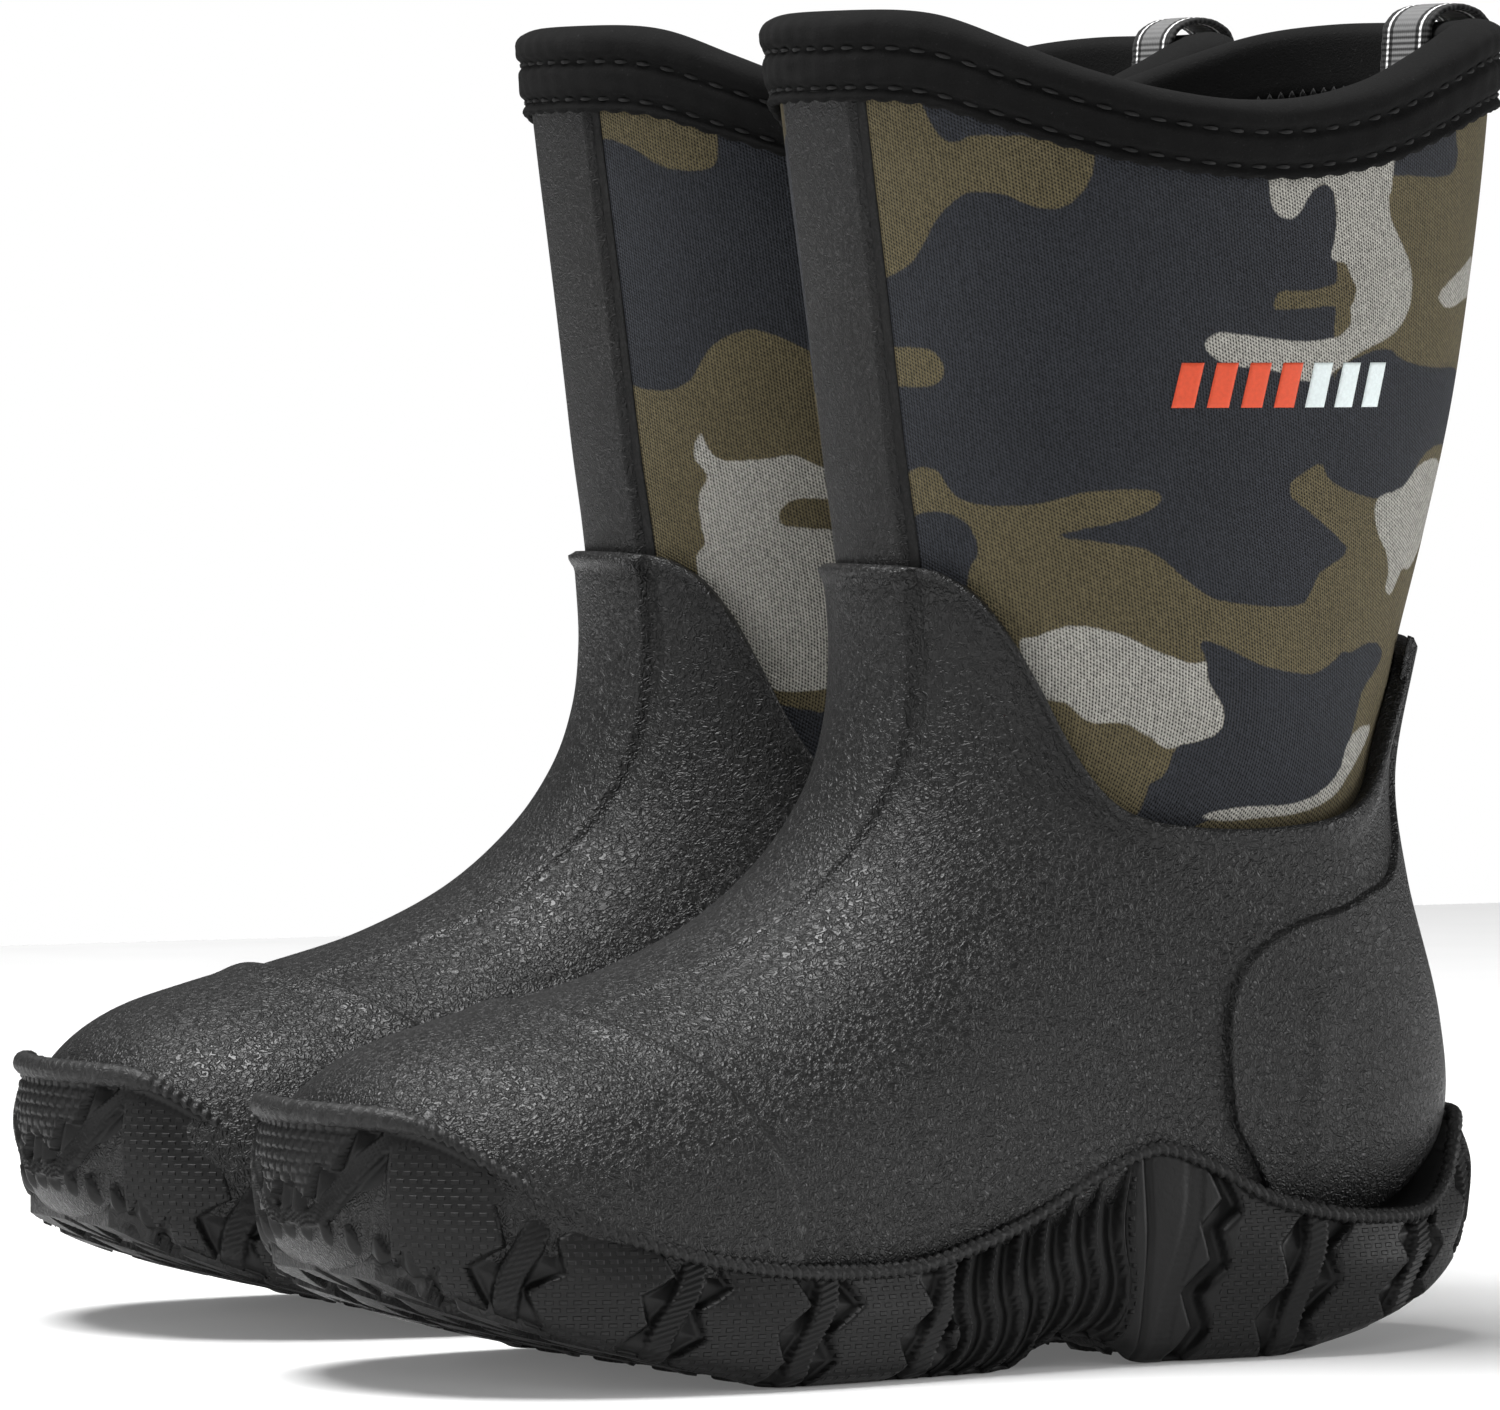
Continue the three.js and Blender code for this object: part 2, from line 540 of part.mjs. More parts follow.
const BOOT = {
  outsole: [outsole, 0x2a2a2b, 0.82],
  midsole: [midsole, 0x8f8a7c, 0.9],
  shank: [solePad(OUT_CUP, OUT_CUP + SHANK, 7.5, 9, 1, -0.03), 0x9aa0a6, 0.4, 1],
  rubber_shell: [cup(GAP, OUT_SHELL, (turn) => shellU(turn, 0)), 0x333335, 0.55],
  toe_cap: [toeCap, 0x323234, 0.5],
  heel_counter: [heelCounter, 0x323234, 0.55],
  neoprene_bootie: [cup(IN_NEOPRENE, 0, rimU), 0x5a5545, 0.95],
  inner_lining: [cup(IN_LINING, OUT_LINING, rimU), 0x2b2a2a, 1],
  footbed: [
    solePad(IN_LINING - GAP - FOOTBED, IN_LINING - GAP, 2.3, 10.6, 3, 0), 0x4a4640, 0.95],
  shin_strip: [
    strip(GAP, GAP + STRIP, STRIP_HALF, 0,
      (turn) => shellU(turn, 0) + 0.08, (turn) => bindLow(turn) - 0.05),
    0x333335, 0.55],
  rear_strip: [
    strip(GAP, GAP + STRIP, REAR_HALF, 1,
      (turn) => shellU(turn, 0) + 0.08, (turn) => bindLow(turn) - 0.05),
    0x333335, 0.55],
  collar_binding: [collarRing(bindingSection), 0x1b1b1c, 0.95],
  collar_stitch_upper: [stitchRing(STITCH_ROWS[0]), 0x4c4b49, 0.9],
  collar_stitch_lower: [stitchRing(STITCH_ROWS[1]), 0x4c4b49, 0.9],
  pull_loop: [loopStrap, 0x8d8d8b, 0.9],
};

// ---- both boots, turned outward and set side by side ----
function place(body, mirror) {
  const angle = (SPLAY_DEG * Math.PI) / 180;
  const points = body.points.map((p) => {
    const q = p.clone().applyAxisAngle(new THREE.Vector3(0, 0, 1), angle);
    q.y -= PAIR_SPACING / 2;
    return mirror ? new THREE.Vector3(q.x + STAGGER, -q.y, q.z) : q;
  });
  const turned = (signedVolume(body) < 0) !== mirror;
  const faces = turned ? body.faces.map(([a, b, c]) => [a, c, b]) : body.faces;
  return { points, faces };
}

function toMesh(name, body, colour, roughness, metalness) {
  const geometry = new THREE.BufferGeometry();
  const flat = new Float32Array(body.points.flatMap((p) => [p.x, p.y, p.z]));
  geometry.setAttribute('position', new THREE.BufferAttribute(flat, 3));
  geometry.setIndex(body.faces.flat());
  geometry.computeVertexNormals();
  const material = new THREE.MeshStandardMaterial({ color: colour, roughness, metalness });
  const mesh = new THREE.Mesh(geometry, material);
  mesh.name = name;
  return mesh;
}

const group = new THREE.Group();
group.name = 'insulated_hunting_boots';
for (const side of ['left', 'right']) {
  for (const [piece, [body, colour, roughness, metalness]] of Object.entries(BOOT)) {
    const placed = place(body, side === 'right');
    group.add(toMesh(`${side}_${piece}`, placed, colour, roughness, metalness ?? 0));
  }
}

// Put the origin at the bottom centre of the pair.
const box = new THREE.Box3().setFromObject(group);
const shift = -(box.min.x + box.max.x) / 2;
group.children.forEach((mesh) => mesh.geometry.translate(shift, 0, -box.min.z));

export default group;
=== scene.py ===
# %% [markdown]
# A pair of insulated hunting boots. Each boot is a rubber foot moulded onto a neoprene
# bootie, with a lugged outsole below and a soft bound collar above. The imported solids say
# where everything is, so they are loaded first and never moved. The detailed pieces below
# are made around them, in the same place and at the same size.

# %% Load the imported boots
import math
import bpy
import numpy as np
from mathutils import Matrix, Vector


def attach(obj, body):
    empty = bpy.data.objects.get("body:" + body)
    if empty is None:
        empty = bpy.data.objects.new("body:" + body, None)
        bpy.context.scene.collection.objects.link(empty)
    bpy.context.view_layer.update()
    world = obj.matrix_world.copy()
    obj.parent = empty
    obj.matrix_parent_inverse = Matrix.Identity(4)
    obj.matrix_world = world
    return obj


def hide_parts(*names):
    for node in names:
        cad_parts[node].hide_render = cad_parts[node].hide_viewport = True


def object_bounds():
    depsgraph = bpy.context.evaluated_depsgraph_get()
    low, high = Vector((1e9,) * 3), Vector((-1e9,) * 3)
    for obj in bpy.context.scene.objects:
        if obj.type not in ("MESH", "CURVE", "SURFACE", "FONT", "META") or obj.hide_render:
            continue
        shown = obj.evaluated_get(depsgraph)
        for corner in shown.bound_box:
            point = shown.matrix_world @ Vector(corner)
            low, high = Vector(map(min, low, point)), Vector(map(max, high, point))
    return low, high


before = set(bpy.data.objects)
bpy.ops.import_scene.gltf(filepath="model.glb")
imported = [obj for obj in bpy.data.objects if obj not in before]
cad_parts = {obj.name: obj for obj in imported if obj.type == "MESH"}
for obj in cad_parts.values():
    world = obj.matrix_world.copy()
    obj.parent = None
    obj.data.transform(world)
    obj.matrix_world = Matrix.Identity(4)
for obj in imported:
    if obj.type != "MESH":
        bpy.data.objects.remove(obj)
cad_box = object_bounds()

# %% [markdown]
# The camera looks down the outer side of the left boot from a long way off, so that the
# pair keeps its true proportions. A long lens does this better than a near, wide one.

# %% Camera
LOOK_DOWN, TURN_TO_TOES = 1.98, 28      # degrees
camera_data = bpy.data.cameras.new("view")
camera_data.sensor_width = 36
camera_data.lens = 268.8         # mm, a long lens
camera_data.clip_end = 20        # metres
camera = bpy.data.objects.new("view", camera_data)
camera.location = (-0.8748, -1.6405, 0.168)
camera.rotation_euler = (math.radians(90 - LOOK_DOWN), 0, math.radians(-TURN_TO_TOES))
bpy.context.scene.collection.objects.link(camera)
bpy.context.scene.camera = camera
print("camera", tuple(round(v, 3) for v in camera.location))

# %% [markdown]
# A boot is drawn once, in millimetres, with its toe toward -x and its outer side toward -y.
# It is then turned outward and set down on the left. The right boot is the mirror image,
# standing a little further back. Mirroring numbers before the mesh exists is simpler than
# a Mirror modifier, because the finished objects then need no turn or scale of their own.

# %% From boot millimetres to the shared frame
MM = 0.001
TURN_OUT = math.radians(2.2)
CENTRE_X, CENTRE_Y, STAGGER = -6.297, -52.0, 7.0
SIDES = ("left", "right")


def place(points, side):
    """Boot points in mm to metres: turned about the vertical, moved out, mirrored for the right."""
    x, y, z = points[..., 0], points[..., 1], points[..., 2]
    c, s = math.cos(TURN_OUT), math.sin(TURN_OUT)
    gx, gy = x * c - y * s + CENTRE_X, x * s + y * c + CENTRE_Y
    if side == "right":
        gx, gy = gx + STAGGER, -gy
    return np.stack([gx, gy, z], -1) * MM

# %% [markdown]
# Foot and shaft are one tube that bends at the ankle, like a sock. It could be sculpted,
# but rows of loops are easier to control: each row gives the loop's front and back points,
# its half widths and how round it is. A smooth curve through the rows gives every loop
# between them, so the boot becomes a function of two numbers: u, the place along the sock,
# and turn, the way round it.

# %% The sock surface
# front x, front z, back x, back z, outer half width, inner half width,
# front roundness, back roundness, place of the widest point from the back
LOOPS = np.array([
    (-103, 29, -103, 29, 0, 0, 2.0, 2.6, 0.5),
    (-101.3, 38, -101, 22.5, 12, 14, 2.0, 2.6, 0.42),
    (-96.3, 45, -95.5, 19.5, 23, 25, 2.0, 2.8, 0.38),
    (-88, 50, -87, 16.5, 31, 32, 2.05, 3.0, 0.35),
    (-76, 53.5, -75, 14.5, 36.5, 36, 2.1, 3.2, 0.33),
    (-60, 57.5, -60, 11.2, 39, 38, 2.1, 3.4, 0.32),
    (-43, 62.5, -43, 8.8, 39.5, 37, 2.1, 3.4, 0.32),
    (-26.5, 70.5, -18, 8.4, 38, 34, 2.1, 3.4, 0.34),
    (-14, 81, 10, 13, 36, 32, 2.1, 3.2, 0.36),
    (-6.5, 92, 38, 14.5, 34, 31, 2.1, 3.0, 0.38),
    (-3, 103, 66, 14.8, 33, 31.5, 2.1, 2.9, 0.42),
    (-2, 114, 86, 19, 33, 32, 2.1, 2.6, 0.46),
    (-2.4, 124, 97.5, 32, 34, 33, 2.1, 2.4, 0.5),
    (-3.5, 134.5, 98, 48, 35, 34.5, 2.1, 2.2, 0.5),
    (-5, 146, 91.5, 70, 37, 36.5, 2.1, 2.1, 0.5),
    (-6.4, 158, 88.2, 89, 38.6, 38.2, 2.1, 2.1, 0.5),
    (-7.9, 170, 91.8, 109, 40.2, 40, 2.1, 2.1, 0.5),
    (-9.5, 182, 97.5, 130, 42.2, 42.2, 2.1, 2.1, 0.5),
    (-11, 193, 102.8, 152, 44, 44, 2.1, 2.1, 0.5),
    (-12.4, 204, 106.6, 176, 45.5, 45.5, 2.1, 2.1, 0.5),
    (-13.8, 215, 109.3, 199, 46.6, 46.6, 2.1, 2.1, 0.5),
    (-15, 226, 111, 223, 47.2, 47.2, 2.1, 2.1, 0.5),
], float)
# Before the toe tip the even columns mirror and the others run on, so the tip is round.
EVEN = np.array([1, 0, 1, 0, 0, 0, 1, 1, 1], bool)
BEFORE = np.where(EVEN, LOOPS[1], 2 * LOOPS[0] - LOOPS[1])
ROWS = np.vstack([BEFORE, LOOPS, 2 * LOOPS[-1] - LOOPS[-2]])


def loops_at(u):
    """Cubic through four neighbouring rows, with each row's slope taken from its neighbours."""
    u = np.clip(u, 0, len(LOOPS) - 1)
    i = np.minimum(u.astype(int), len(LOOPS) - 2)
    f = (u - i)[..., None]
    p0, p1, p2, p3 = (ROWS[i + k] for k in range(4))
    m1, m2 = (p2 - p0) / 2, (p3 - p1) / 2
    return ((2 * f**3 - 3 * f**2 + 1) * p1 + (f**3 - 2 * f**2 + f) * m1
            + (3 * f**2 - 2 * f**3) * p2 + (f**3 - f**2) * m2)


def sock(u, turn):
    """Point of a rounded loop: front to back by cosine, side to side by sine, swelled to
    a superellipse. turn 0 is the front and top line, half a turn the back and sole line."""
    u, turn = np.broadcast_arrays(np.asarray(u, float), np.asarray(turn, float))
    xf, zf, xb, zb, outer, inner, nf, nb, mid = np.moveaxis(loops_at(u), -1, 0)
    c, s = np.cos(turn), np.sin(turn)
    k = 0.5 - 0.5 * c
    n = nf + (nb - nf) * k * k * (3 - 2 * k)
    r = (np.abs(c) ** n + np.abs(s) ** n) ** (-1 / n)
    along = np.where(c > 0, mid + (1 - mid) * r * c, mid + mid * r * c)
    width = np.where(s > 0, outer, inner)
    return np.stack([xb + (xf - xb) * along, -width * r * s, zb + (zf - zb) * along], -1)


def unit(v):
    """Vectors shortened or stretched to length 1."""
    return v / np.maximum(np.linalg.norm(v, axis=-1, keepdims=True), 1e-9)


def sock_normal(u, turn):
    """Outward direction: the cross product of the two ways along the surface."""
    h = 0.02
    u, turn = np.broadcast_arrays(np.asarray(u, float), np.asarray(turn, float))
    along_u = sock(u + h, turn) - sock(np.maximum(u - h, 0), turn)
    along_turn = sock(u, turn + h) - sock(u, turn - h)
    n = unit(np.cross(along_turn, along_u))
    n[u < 1e-3] = (-1, 0, 0)
    return n


def lay(u, turn, out):
    """The sock surface moved outward by out millimetres."""
    return sock(u, turn) + sock_normal(u, turn) * np.asarray(out, float)[..., None]


print("sock height", round(float(sock(20.0, 0.0)[2]), 1), "mm")

# %% [markdown]
# The collar, the top of the rubber and the edges of the toe cap and heel counter are drawn
# as lines seen from the side. Each is met with the sock by halving: the place u moves half
# the remaining way, up or down, until it sits on the line. All columns do this at once.

# %% Lines seen from the side
COLLAR = np.array([(-22, 216), (-14, 217), (-6, 216.2), (4, 211.8), (14, 207.8), (26, 204.6),
                   (40, 202.8), (54, 203.4), (68, 206.4), (82, 211.4), (94, 215.4),
                   (104, 217), (112, 217)], float)
# The binding is pulled in along the collar's dip: by this share, around this x, this far.
DIP_NARROWS, DIP_X, DIP_REACH = 0.14, 38, 34
SHELL_TOP = np.array([(-20, 128), (-2, 128), (4, 125.5), (9, 119), (14, 109), (19, 98),
                      (24, 90.5), (30, 87), (40, 85.5), (55, 85.5), (66, 87), (74, 92),
                      (80, 101), (86, 110), (92, 115), (100, 116.5)], float)
SOLE_TOP = np.array([(-114, 44), (-103, 43.5), (-97, 41), (-90, 36), (-80, 29.5), (-68, 24.5),
                     (-52, 20.5), (-35, 18.5), (-18, 18.5), (-6, 21), (6, 25), (17, 30.5),
                     (27, 34.5), (33, 35), (41, 32), (52, 26.5), (64, 23.5), (76, 22.5),
                     (86, 23), (94, 26.5), (100, 32), (104, 36.5), (114, 37)], float)
SOLE_LOW = np.array([(-114, 25), (-104, 19), (-95, 14.5), (-80, 9), (-62, 4.3), (-50, 1.6),
                     (-41, 0), (0, 0), (8, 3), (14, 4.5), (20, 4.3), (24, 2.5), (30, 0),
                     (54, 0), (64, 1.8), (75, 4.2), (85, 7.5), (94, 12), (102, 17),
                     (114, 25)], float)
CAP_EDGE = np.array([(0, -36), (27, -37), (38, -42), (50, -52), (62, -72), (80, -90)], float)
COUNTER_EDGE = np.array([(6, 50), (30, 47), (45, 44), (58, 44), (66, 48), (71, 56),
                         (74.5, 68), (84, 80), (130, 88)], float)


def catmull_rom(p0, p1, p2, p3, f):
    """Cubic from p1 to p2 as f goes from 0 to 1; each end's slope follows its neighbours."""
    return 0.5 * (2 * p1 + (p2 - p0) * f + (2 * p0 - 5 * p1 + 4 * p2 - p3) * f**2
                  + (3 * p1 - p0 - 3 * p2 + p3) * f**3)


def smooth_line(line, count=400):
    """Smooth curve through a line's points, run on straight past both ends."""
    g = np.vstack([2 * line[0] - line[1], line, 2 * line[-1] - line[-2]])
    t = np.linspace(0, len(line) - 1, count)
    i = np.minimum(t.astype(int), len(line) - 2)
    return catmull_rom(*(g[i + k] for k in range(4)), (t - i)[:, None])


def closed_line(corners, count):
    """Smooth curve through a line's points that closes on its first point."""
    t = np.linspace(0, len(corners), count, endpoint=False)
    i = t.astype(int)
    return catmull_rom(*(corners[(i + k) % len(corners)] for k in (-1, 0, 1, 2)),
                       (t - i)[:, None])


def line_reader(line):
    """A function that reads the smooth line's second value at its first."""
    fine = smooth_line(line)
    fine = fine[np.argsort(fine[:, 0])]
    return lambda x: np.interp(x, fine[:, 0], fine[:, 1])


collar_z, shell_z = line_reader(COLLAR), line_reader(SHELL_TOP)
cap_x, counter_x = line_reader(CAP_EDGE), line_reader(COUNTER_EDGE)
sole_high, low_line = line_reader(SOLE_TOP), line_reader(SOLE_LOW)


def sole_low(x):
    """Height of the sole's lower edge, never under the floor."""
    return np.maximum(low_line(x), 0.0)


def halve(low, high, above, steps=34):
    """Halving: keeps the half in which above(middle) changes from false to true."""
    low, high = np.array(low, float), np.array(high, float)
    for _ in range(steps):
        middle = (low + high) / 2
        yes = above(middle)
        high = np.where(yes, middle, high)
        low = np.where(yes, low, middle)
    return (low + high) / 2


def hill(x, width):
    """A smooth hill of height 1, e to the minus square of x over width."""
    return np.exp(-(x / width) ** 2)


def u_at_line(turn, reader, shift, low, high):
    """Place where the sock passes a side line raised by shift."""
    turn, shift = np.broadcast_arrays(np.asarray(turn, float), np.asarray(shift, float))

    def above(u):
        p = sock(u, turn)
        return p[..., 2] > reader(p[..., 0]) + shift
    return halve(np.full(turn.shape, low), np.full(turn.shape, high), above)


def collar_u(turn, drop):
    """Place a drop below the collar line; the drop is a little less along the dip."""
    turn, drop = np.broadcast_arrays(np.asarray(turn, float), np.asarray(drop, float))

    def above(u):
        p = sock(u, turn)
        pulled = 1 - DIP_NARROWS * hill(p[..., 0] - DIP_X, DIP_REACH)
        return p[..., 2] > collar_z(p[..., 0]) - drop * pulled
    return halve(np.full(turn.shape, 9.0), np.full(turn.shape, 21.0), above)


def shell_u(turn, shift=0.0):
    """Place of the rubber's top edge, or of a line parallel to it."""
    return u_at_line(turn, shell_z, shift, 8.0, 20.0)


print("collar front height", round(float(sock(collar_u(0.0, 0.0), 0.0)[2]), 1), "mm")

# %% [markdown]
# Every piece is a grid of points bent into a closed skin. One helper joins the grid's
# neighbours with four-cornered faces. The grid may close round on itself both ways, its
# first or last row may shrink to one point, and an open-sided strip gets walls at its
# ends. Numbers go into the mesh as whole arrays, which is far faster than point by point.

# %% Closed skins from grids
def smooth(x):
    """Eases from 0 to 1: three x squared minus two x cubed, held flat outside."""
    x = np.clip(x, 0, 1)
    return x * x * (3 - 2 * x)


def zigzag(x):
    """Straight up and down between 0 and 1, once in every whole x."""
    return 1 - np.abs(2 * (x - np.floor(x)) - 1)


def signed_volume(points, faces):
    """Sum of the tetrahedra from the origin to each face's triangles."""
    total = 0.0
    for f in faces:
        for k in range(1, f.shape[1] - 1):
            a, b, c = points[f[:, 0]], points[f[:, k]], points[f[:, k + 1]]
            total += float((a * np.cross(b, c)).sum()) / 6
    return total


def skin(grid, uv=None, wrap_rows=False, wrap_cols=False, poles=(False, False), ends=False,
         fields=None):
    """A closed skin over a rows by columns grid, as points, faces, corner uvs and fields."""
    rows, cols = grid.shape[:2]
    R, C = rows + wrap_rows, cols + wrap_cols
    number = np.arange(R * C).reshape(R, C)
    real = (np.arange(R) % rows)[:, None] * cols + (np.arange(C) % cols)[None, :]
    if poles[0]:
        real[0] = real[0, 0]
    if poles[1]:
        real[-1] = real[-1, 0]
    quads = np.stack([number[:-1, :-1], number[:-1, 1:], number[1:, 1:], number[1:, :-1]], -1)
    faces = [quads[int(poles[0]):len(quads) - int(poles[1])].reshape(-1, 4)]
    if poles[0]:
        faces.append(quads[0][:, [0, 2, 3]])
    if poles[1]:
        faces.append(quads[-1][:, [0, 1, 2]])
    if ends:
        i = np.arange(rows // 2 - 1)
        rung = np.stack([i, i + 1, rows - 2 - i, rows - 1 - i], -1)
        faces += [number[:, 0][rung], number[:, -1][rung][:, ::-1]]
    real = real.ravel()
    used, packed = np.unique(np.concatenate([real[f].ravel() for f in faces]),
                             return_inverse=True)
    uvs = None if uv is None else [uv.reshape(-1, 2)[f] for f in faces]
    cuts = np.cumsum([f.size for f in faces])[:-1]
    shaped = [p.reshape(f.shape) for p, f in zip(np.split(packed.ravel(), cuts), faces)]
    points = grid.reshape(-1, 3)[used]
    if signed_volume(points, shaped) < 0:
        shaped = [f[:, ::-1] for f in shaped]
        uvs = None if uvs is None else [w[:, ::-1] for w in uvs]
    values = {k: v.reshape(-1)[used] for k, v in (fields or {}).items()}
    return points, shaped, uvs, values


def repeat(grids, uv=None, **how):
    """Many copies of one small closed skin, from an array of grids, joined in one mesh."""
    points, faces, uvs, _ = skin(grids[0], uv, **how)
    moved = [skin(g, uv, **how)[0] for g in grids]
    n = len(points)
    every = [np.concatenate([f + k * n for k in range(len(grids))]) for f in faces]
    corner = None if uvs is None else [np.concatenate([w] * len(grids)) for w in uvs]
    return np.concatenate(moved), every, corner, {}


def make(name, part, side, material, nodes=(), body=None):
    """Makes the mesh object of one piece, in place, riding on its body."""
    points, faces, uvs, values = part
    if side == "right":
        faces = [f[:, ::-1] for f in faces]
        uvs = None if uvs is None else [w[:, ::-1] for w in uvs]
    mesh = bpy.data.meshes.new(f"{side}_{name}")
    sizes = np.concatenate([np.full(len(f), f.shape[1]) for f in faces])
    corners = np.concatenate([f.ravel() for f in faces]).astype(np.int32)
    mesh.vertices.add(len(points))
    mesh.vertices.foreach_set("co", place(points, side).astype(np.float32).ravel())
    mesh.loops.add(len(corners))
    mesh.loops.foreach_set("vertex_index", corners)
    mesh.polygons.add(len(sizes))
    mesh.polygons.foreach_set("loop_start", (np.cumsum(sizes) - sizes).astype(np.int32))
    mesh.update(calc_edges=True)
    if uvs is not None:
        layer = mesh.uv_layers.new(name="fabric_mm")
        layer.data.foreach_set("uv", np.concatenate([w.ravel() for w in uvs]).astype(np.float32))
    for key, value in values.items():
        field = mesh.attributes.new(key, "FLOAT", "POINT")
        field.data.foreach_set("value", value.astype(np.float32))
    mesh.shade_smooth()
    mesh.materials.append(material)
    piece = bpy.data.objects.new(f"{side}_{name}", mesh)
    bpy.context.scene.collection.objects.link(piece)
    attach(piece, body or f"{side}_boot")
    if nodes:
        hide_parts(*[f"{side}_{n}" for n in nodes])
    print(f"{side}_{name}: {int((sizes - 2).sum())} triangles")


def pair(name, part, material, nodes=(), on_footbed=False):
    """The same piece on both boots."""
    for side in SIDES:
        body = f"{side}_footbed_body" if on_footbed else None
        make(name, part, side, material, nodes, body)

# %% [markdown]
# A finish is a small network of nodes. Written as sums it stays readable, so one class
# wraps a socket and gives it the usual operators. Colours go through Mix, because a Math
# node would turn them grey. One method makes any other node.

# %% Sockets that can be added and multiplied
class Value:
    """A node's output, with arithmetic that adds Math nodes to the same finish."""

    def __init__(self, finish, socket):
        self.finish, self.socket = finish, socket

    def maths(self, operation, *others, clamp=False):
        """One Math node on this value and up to two others."""
        inputs = dict(enumerate((self, *others)))
        settings = {"operation": operation, "use_clamp": clamp}
        return self.finish.node("ShaderNodeMath", settings, inputs)

    def __add__(self, other):
        return self.maths("ADD", other)

    def __radd__(self, other):
        return self.maths("ADD", other)

    def __sub__(self, other):
        return self.maths("SUBTRACT", other)

    def __mul__(self, other):
        return self.maths("MULTIPLY", other)

    def __rmul__(self, other):
        return self.maths("MULTIPLY", other)

    def __neg__(self):
        return self * -1.0

    def __rsub__(self, other):
        return (-self) + other

    def __abs__(self):
        return self.maths("ABSOLUTE")

    def wave(self, pitch):
        """Cosine hills between 0 and 1, one in every pitch."""
        return (self * (2 * math.pi / pitch)).maths("COSINE") * 0.5 + 0.5

    def clip(self, low, high):
        """0 at low, 1 at high, straight between."""
        return ((self - low) * (1 / (high - low))).maths("MULTIPLY", 1.0, clamp=True)


class Finish:
    """One procedural material: a Principled shader whose inputs are set by name."""

    def __init__(self, name, **fixed):
        self.material = bpy.data.materials.new(name)
        self.material.use_nodes = True
        self.tree = self.material.node_tree
        self.shader = self.tree.nodes["Principled BSDF"]
        for key, value in fixed.items():
            self.shader.inputs[key.replace("_", " ")].default_value = value

    def node(self, kind, settings=None, inputs=None, output=0):
        """A node with its settings made first, then each input set or linked."""
        made = self.tree.nodes.new(kind)
        for key, value in (settings or {}).items():
            setattr(made, key, value)
        for key, value in (inputs or {}).items():
            if isinstance(value, Value):
                self.tree.links.new(value.socket, made.inputs[key])
            else:
                made.inputs[key].default_value = value
        return Value(self, made.outputs[output])

    def place(self):
        """Object coordinates, which are metres in the shared frame."""
        return self.node("ShaderNodeTexCoord", output="Object")

    def fabric_mm(self):
        """The piece's own uv, laid out in millimetres, as two numbers."""
        uv = self.node("ShaderNodeUVMap", {"uv_map": "fabric_mm"})
        split = self.node("ShaderNodeSeparateXYZ", inputs={0: uv})
        node = split.socket.node
        return Value(self, node.outputs[0]), Value(self, node.outputs[1])

    def field(self, name):
        """A number stored on the mesh's points."""
        return self.node("ShaderNodeAttribute", {"attribute_name": name}, output="Fac")

    def noise(self, vector, scale, detail=2.0, distortion=0.0, rough=0.5):
        return self.node("ShaderNodeTexNoise", inputs={
            "Vector": vector, "Scale": scale, "Detail": detail, "Roughness": rough,
            "Distortion": distortion})

    def mix(self, share, a, b):
        """Colour a where share is 0, colour b where it is 1."""
        return self.node("ShaderNodeMix", {"data_type": "RGBA"}, {0: share, 6: a, 7: b}, 2)

    def tint(self, colour, strength):
        """A colour made lighter or darker by a number."""
        return self.node("ShaderNodeVectorMath", {"operation": "SCALE"},
                         {0: colour, "Scale": strength})

    def bump(self, height, distance, strength=1.0, before=None):
        """A normal tilted by a height, on top of an earlier one if there is one."""
        inputs = {"Height": height, "Distance": distance, "Strength": strength}
        if before is not None:
            inputs["Normal"] = before
        return self.node("ShaderNodeBump", inputs=inputs)

    def use(self, **varying):
        """Feeds what changes over the surface into the shader, and returns the material."""
        for key, value in varying.items():
            self.tree.links.new(value.socket, self.shader.inputs[key.replace("_", " ")])
        return self.material


def grey(v, warm=0.0):
    """A linear colour from an sRGB grey level, with a little warmth or coolness."""
    x = v / 255
    x = x / 12.92 if x <= 0.04045 else ((x + 0.055) / 1.055) ** 2.4
    return (x * (1 + warm), x, x * (1 - warm), 1)


def srgb(r, g, b):
    """A linear colour from three sRGB levels."""
    return tuple(grey(v)[0] for v in (r, g, b)) + (1,)

# %% [markdown]
# The foot is satin black rubber with a fine wrinkled grain, like leather seen small. A
# noise bent by its own distortion and folded about its middle leaves thin winding
# valleys. A second, wider noise makes the gloss uneven, as on real moulded rubber.

# %% Rubber finishes
def rubber(name, level, roughness, grain_mm, depth_mm):
    """Black rubber of one grey level, gloss, grain width and grain depth."""
    f = Finish(name, Specular_IOR_Level=0.38, Sheen_Weight=0.0)
    at = f.place()
    worms = 1 - abs(f.noise(at, 1000 / grain_mm, 1.6, 1.1) - 0.5) * 6.0
    worms = worms.clip(0.0, 1.0)
    cloud = f.noise(at, 60, 3)
    speck = f.noise(at, 2600, 1)
    # painted shade: the colour is darker in the grain's valleys; cloud is the rubber's own uneven tone
    colour = f.mix(worms * 0.7 + cloud * 0.3, grey(level + 10), grey(level - 8))
    rough = roughness + (cloud - 0.5) * 0.12 + worms * 0.12 + (speck - 0.5) * 0.1
    height = 1 - worms + speck * 0.2
    return f.use(Base_Color=colour, Roughness=rough, Normal=f.bump(height, depth_mm * MM))


shell_rubber = rubber("grained_rubber", 15, 0.37, 1.2, 0.17)
strip_rubber = rubber("strip_rubber", 14, 0.44, 1.0, 0.14)
# painted shadow: darker, duller rubber for the sheet beside the strips, standing in for the shade in
# their grooves
groove_shadow_rubber = rubber("groove_shadow_rubber", 10, 0.7, 1.2, 0.03)
print("rubber finishes:", [m.name for m in bpy.data.materials if "rubber" in m.name])

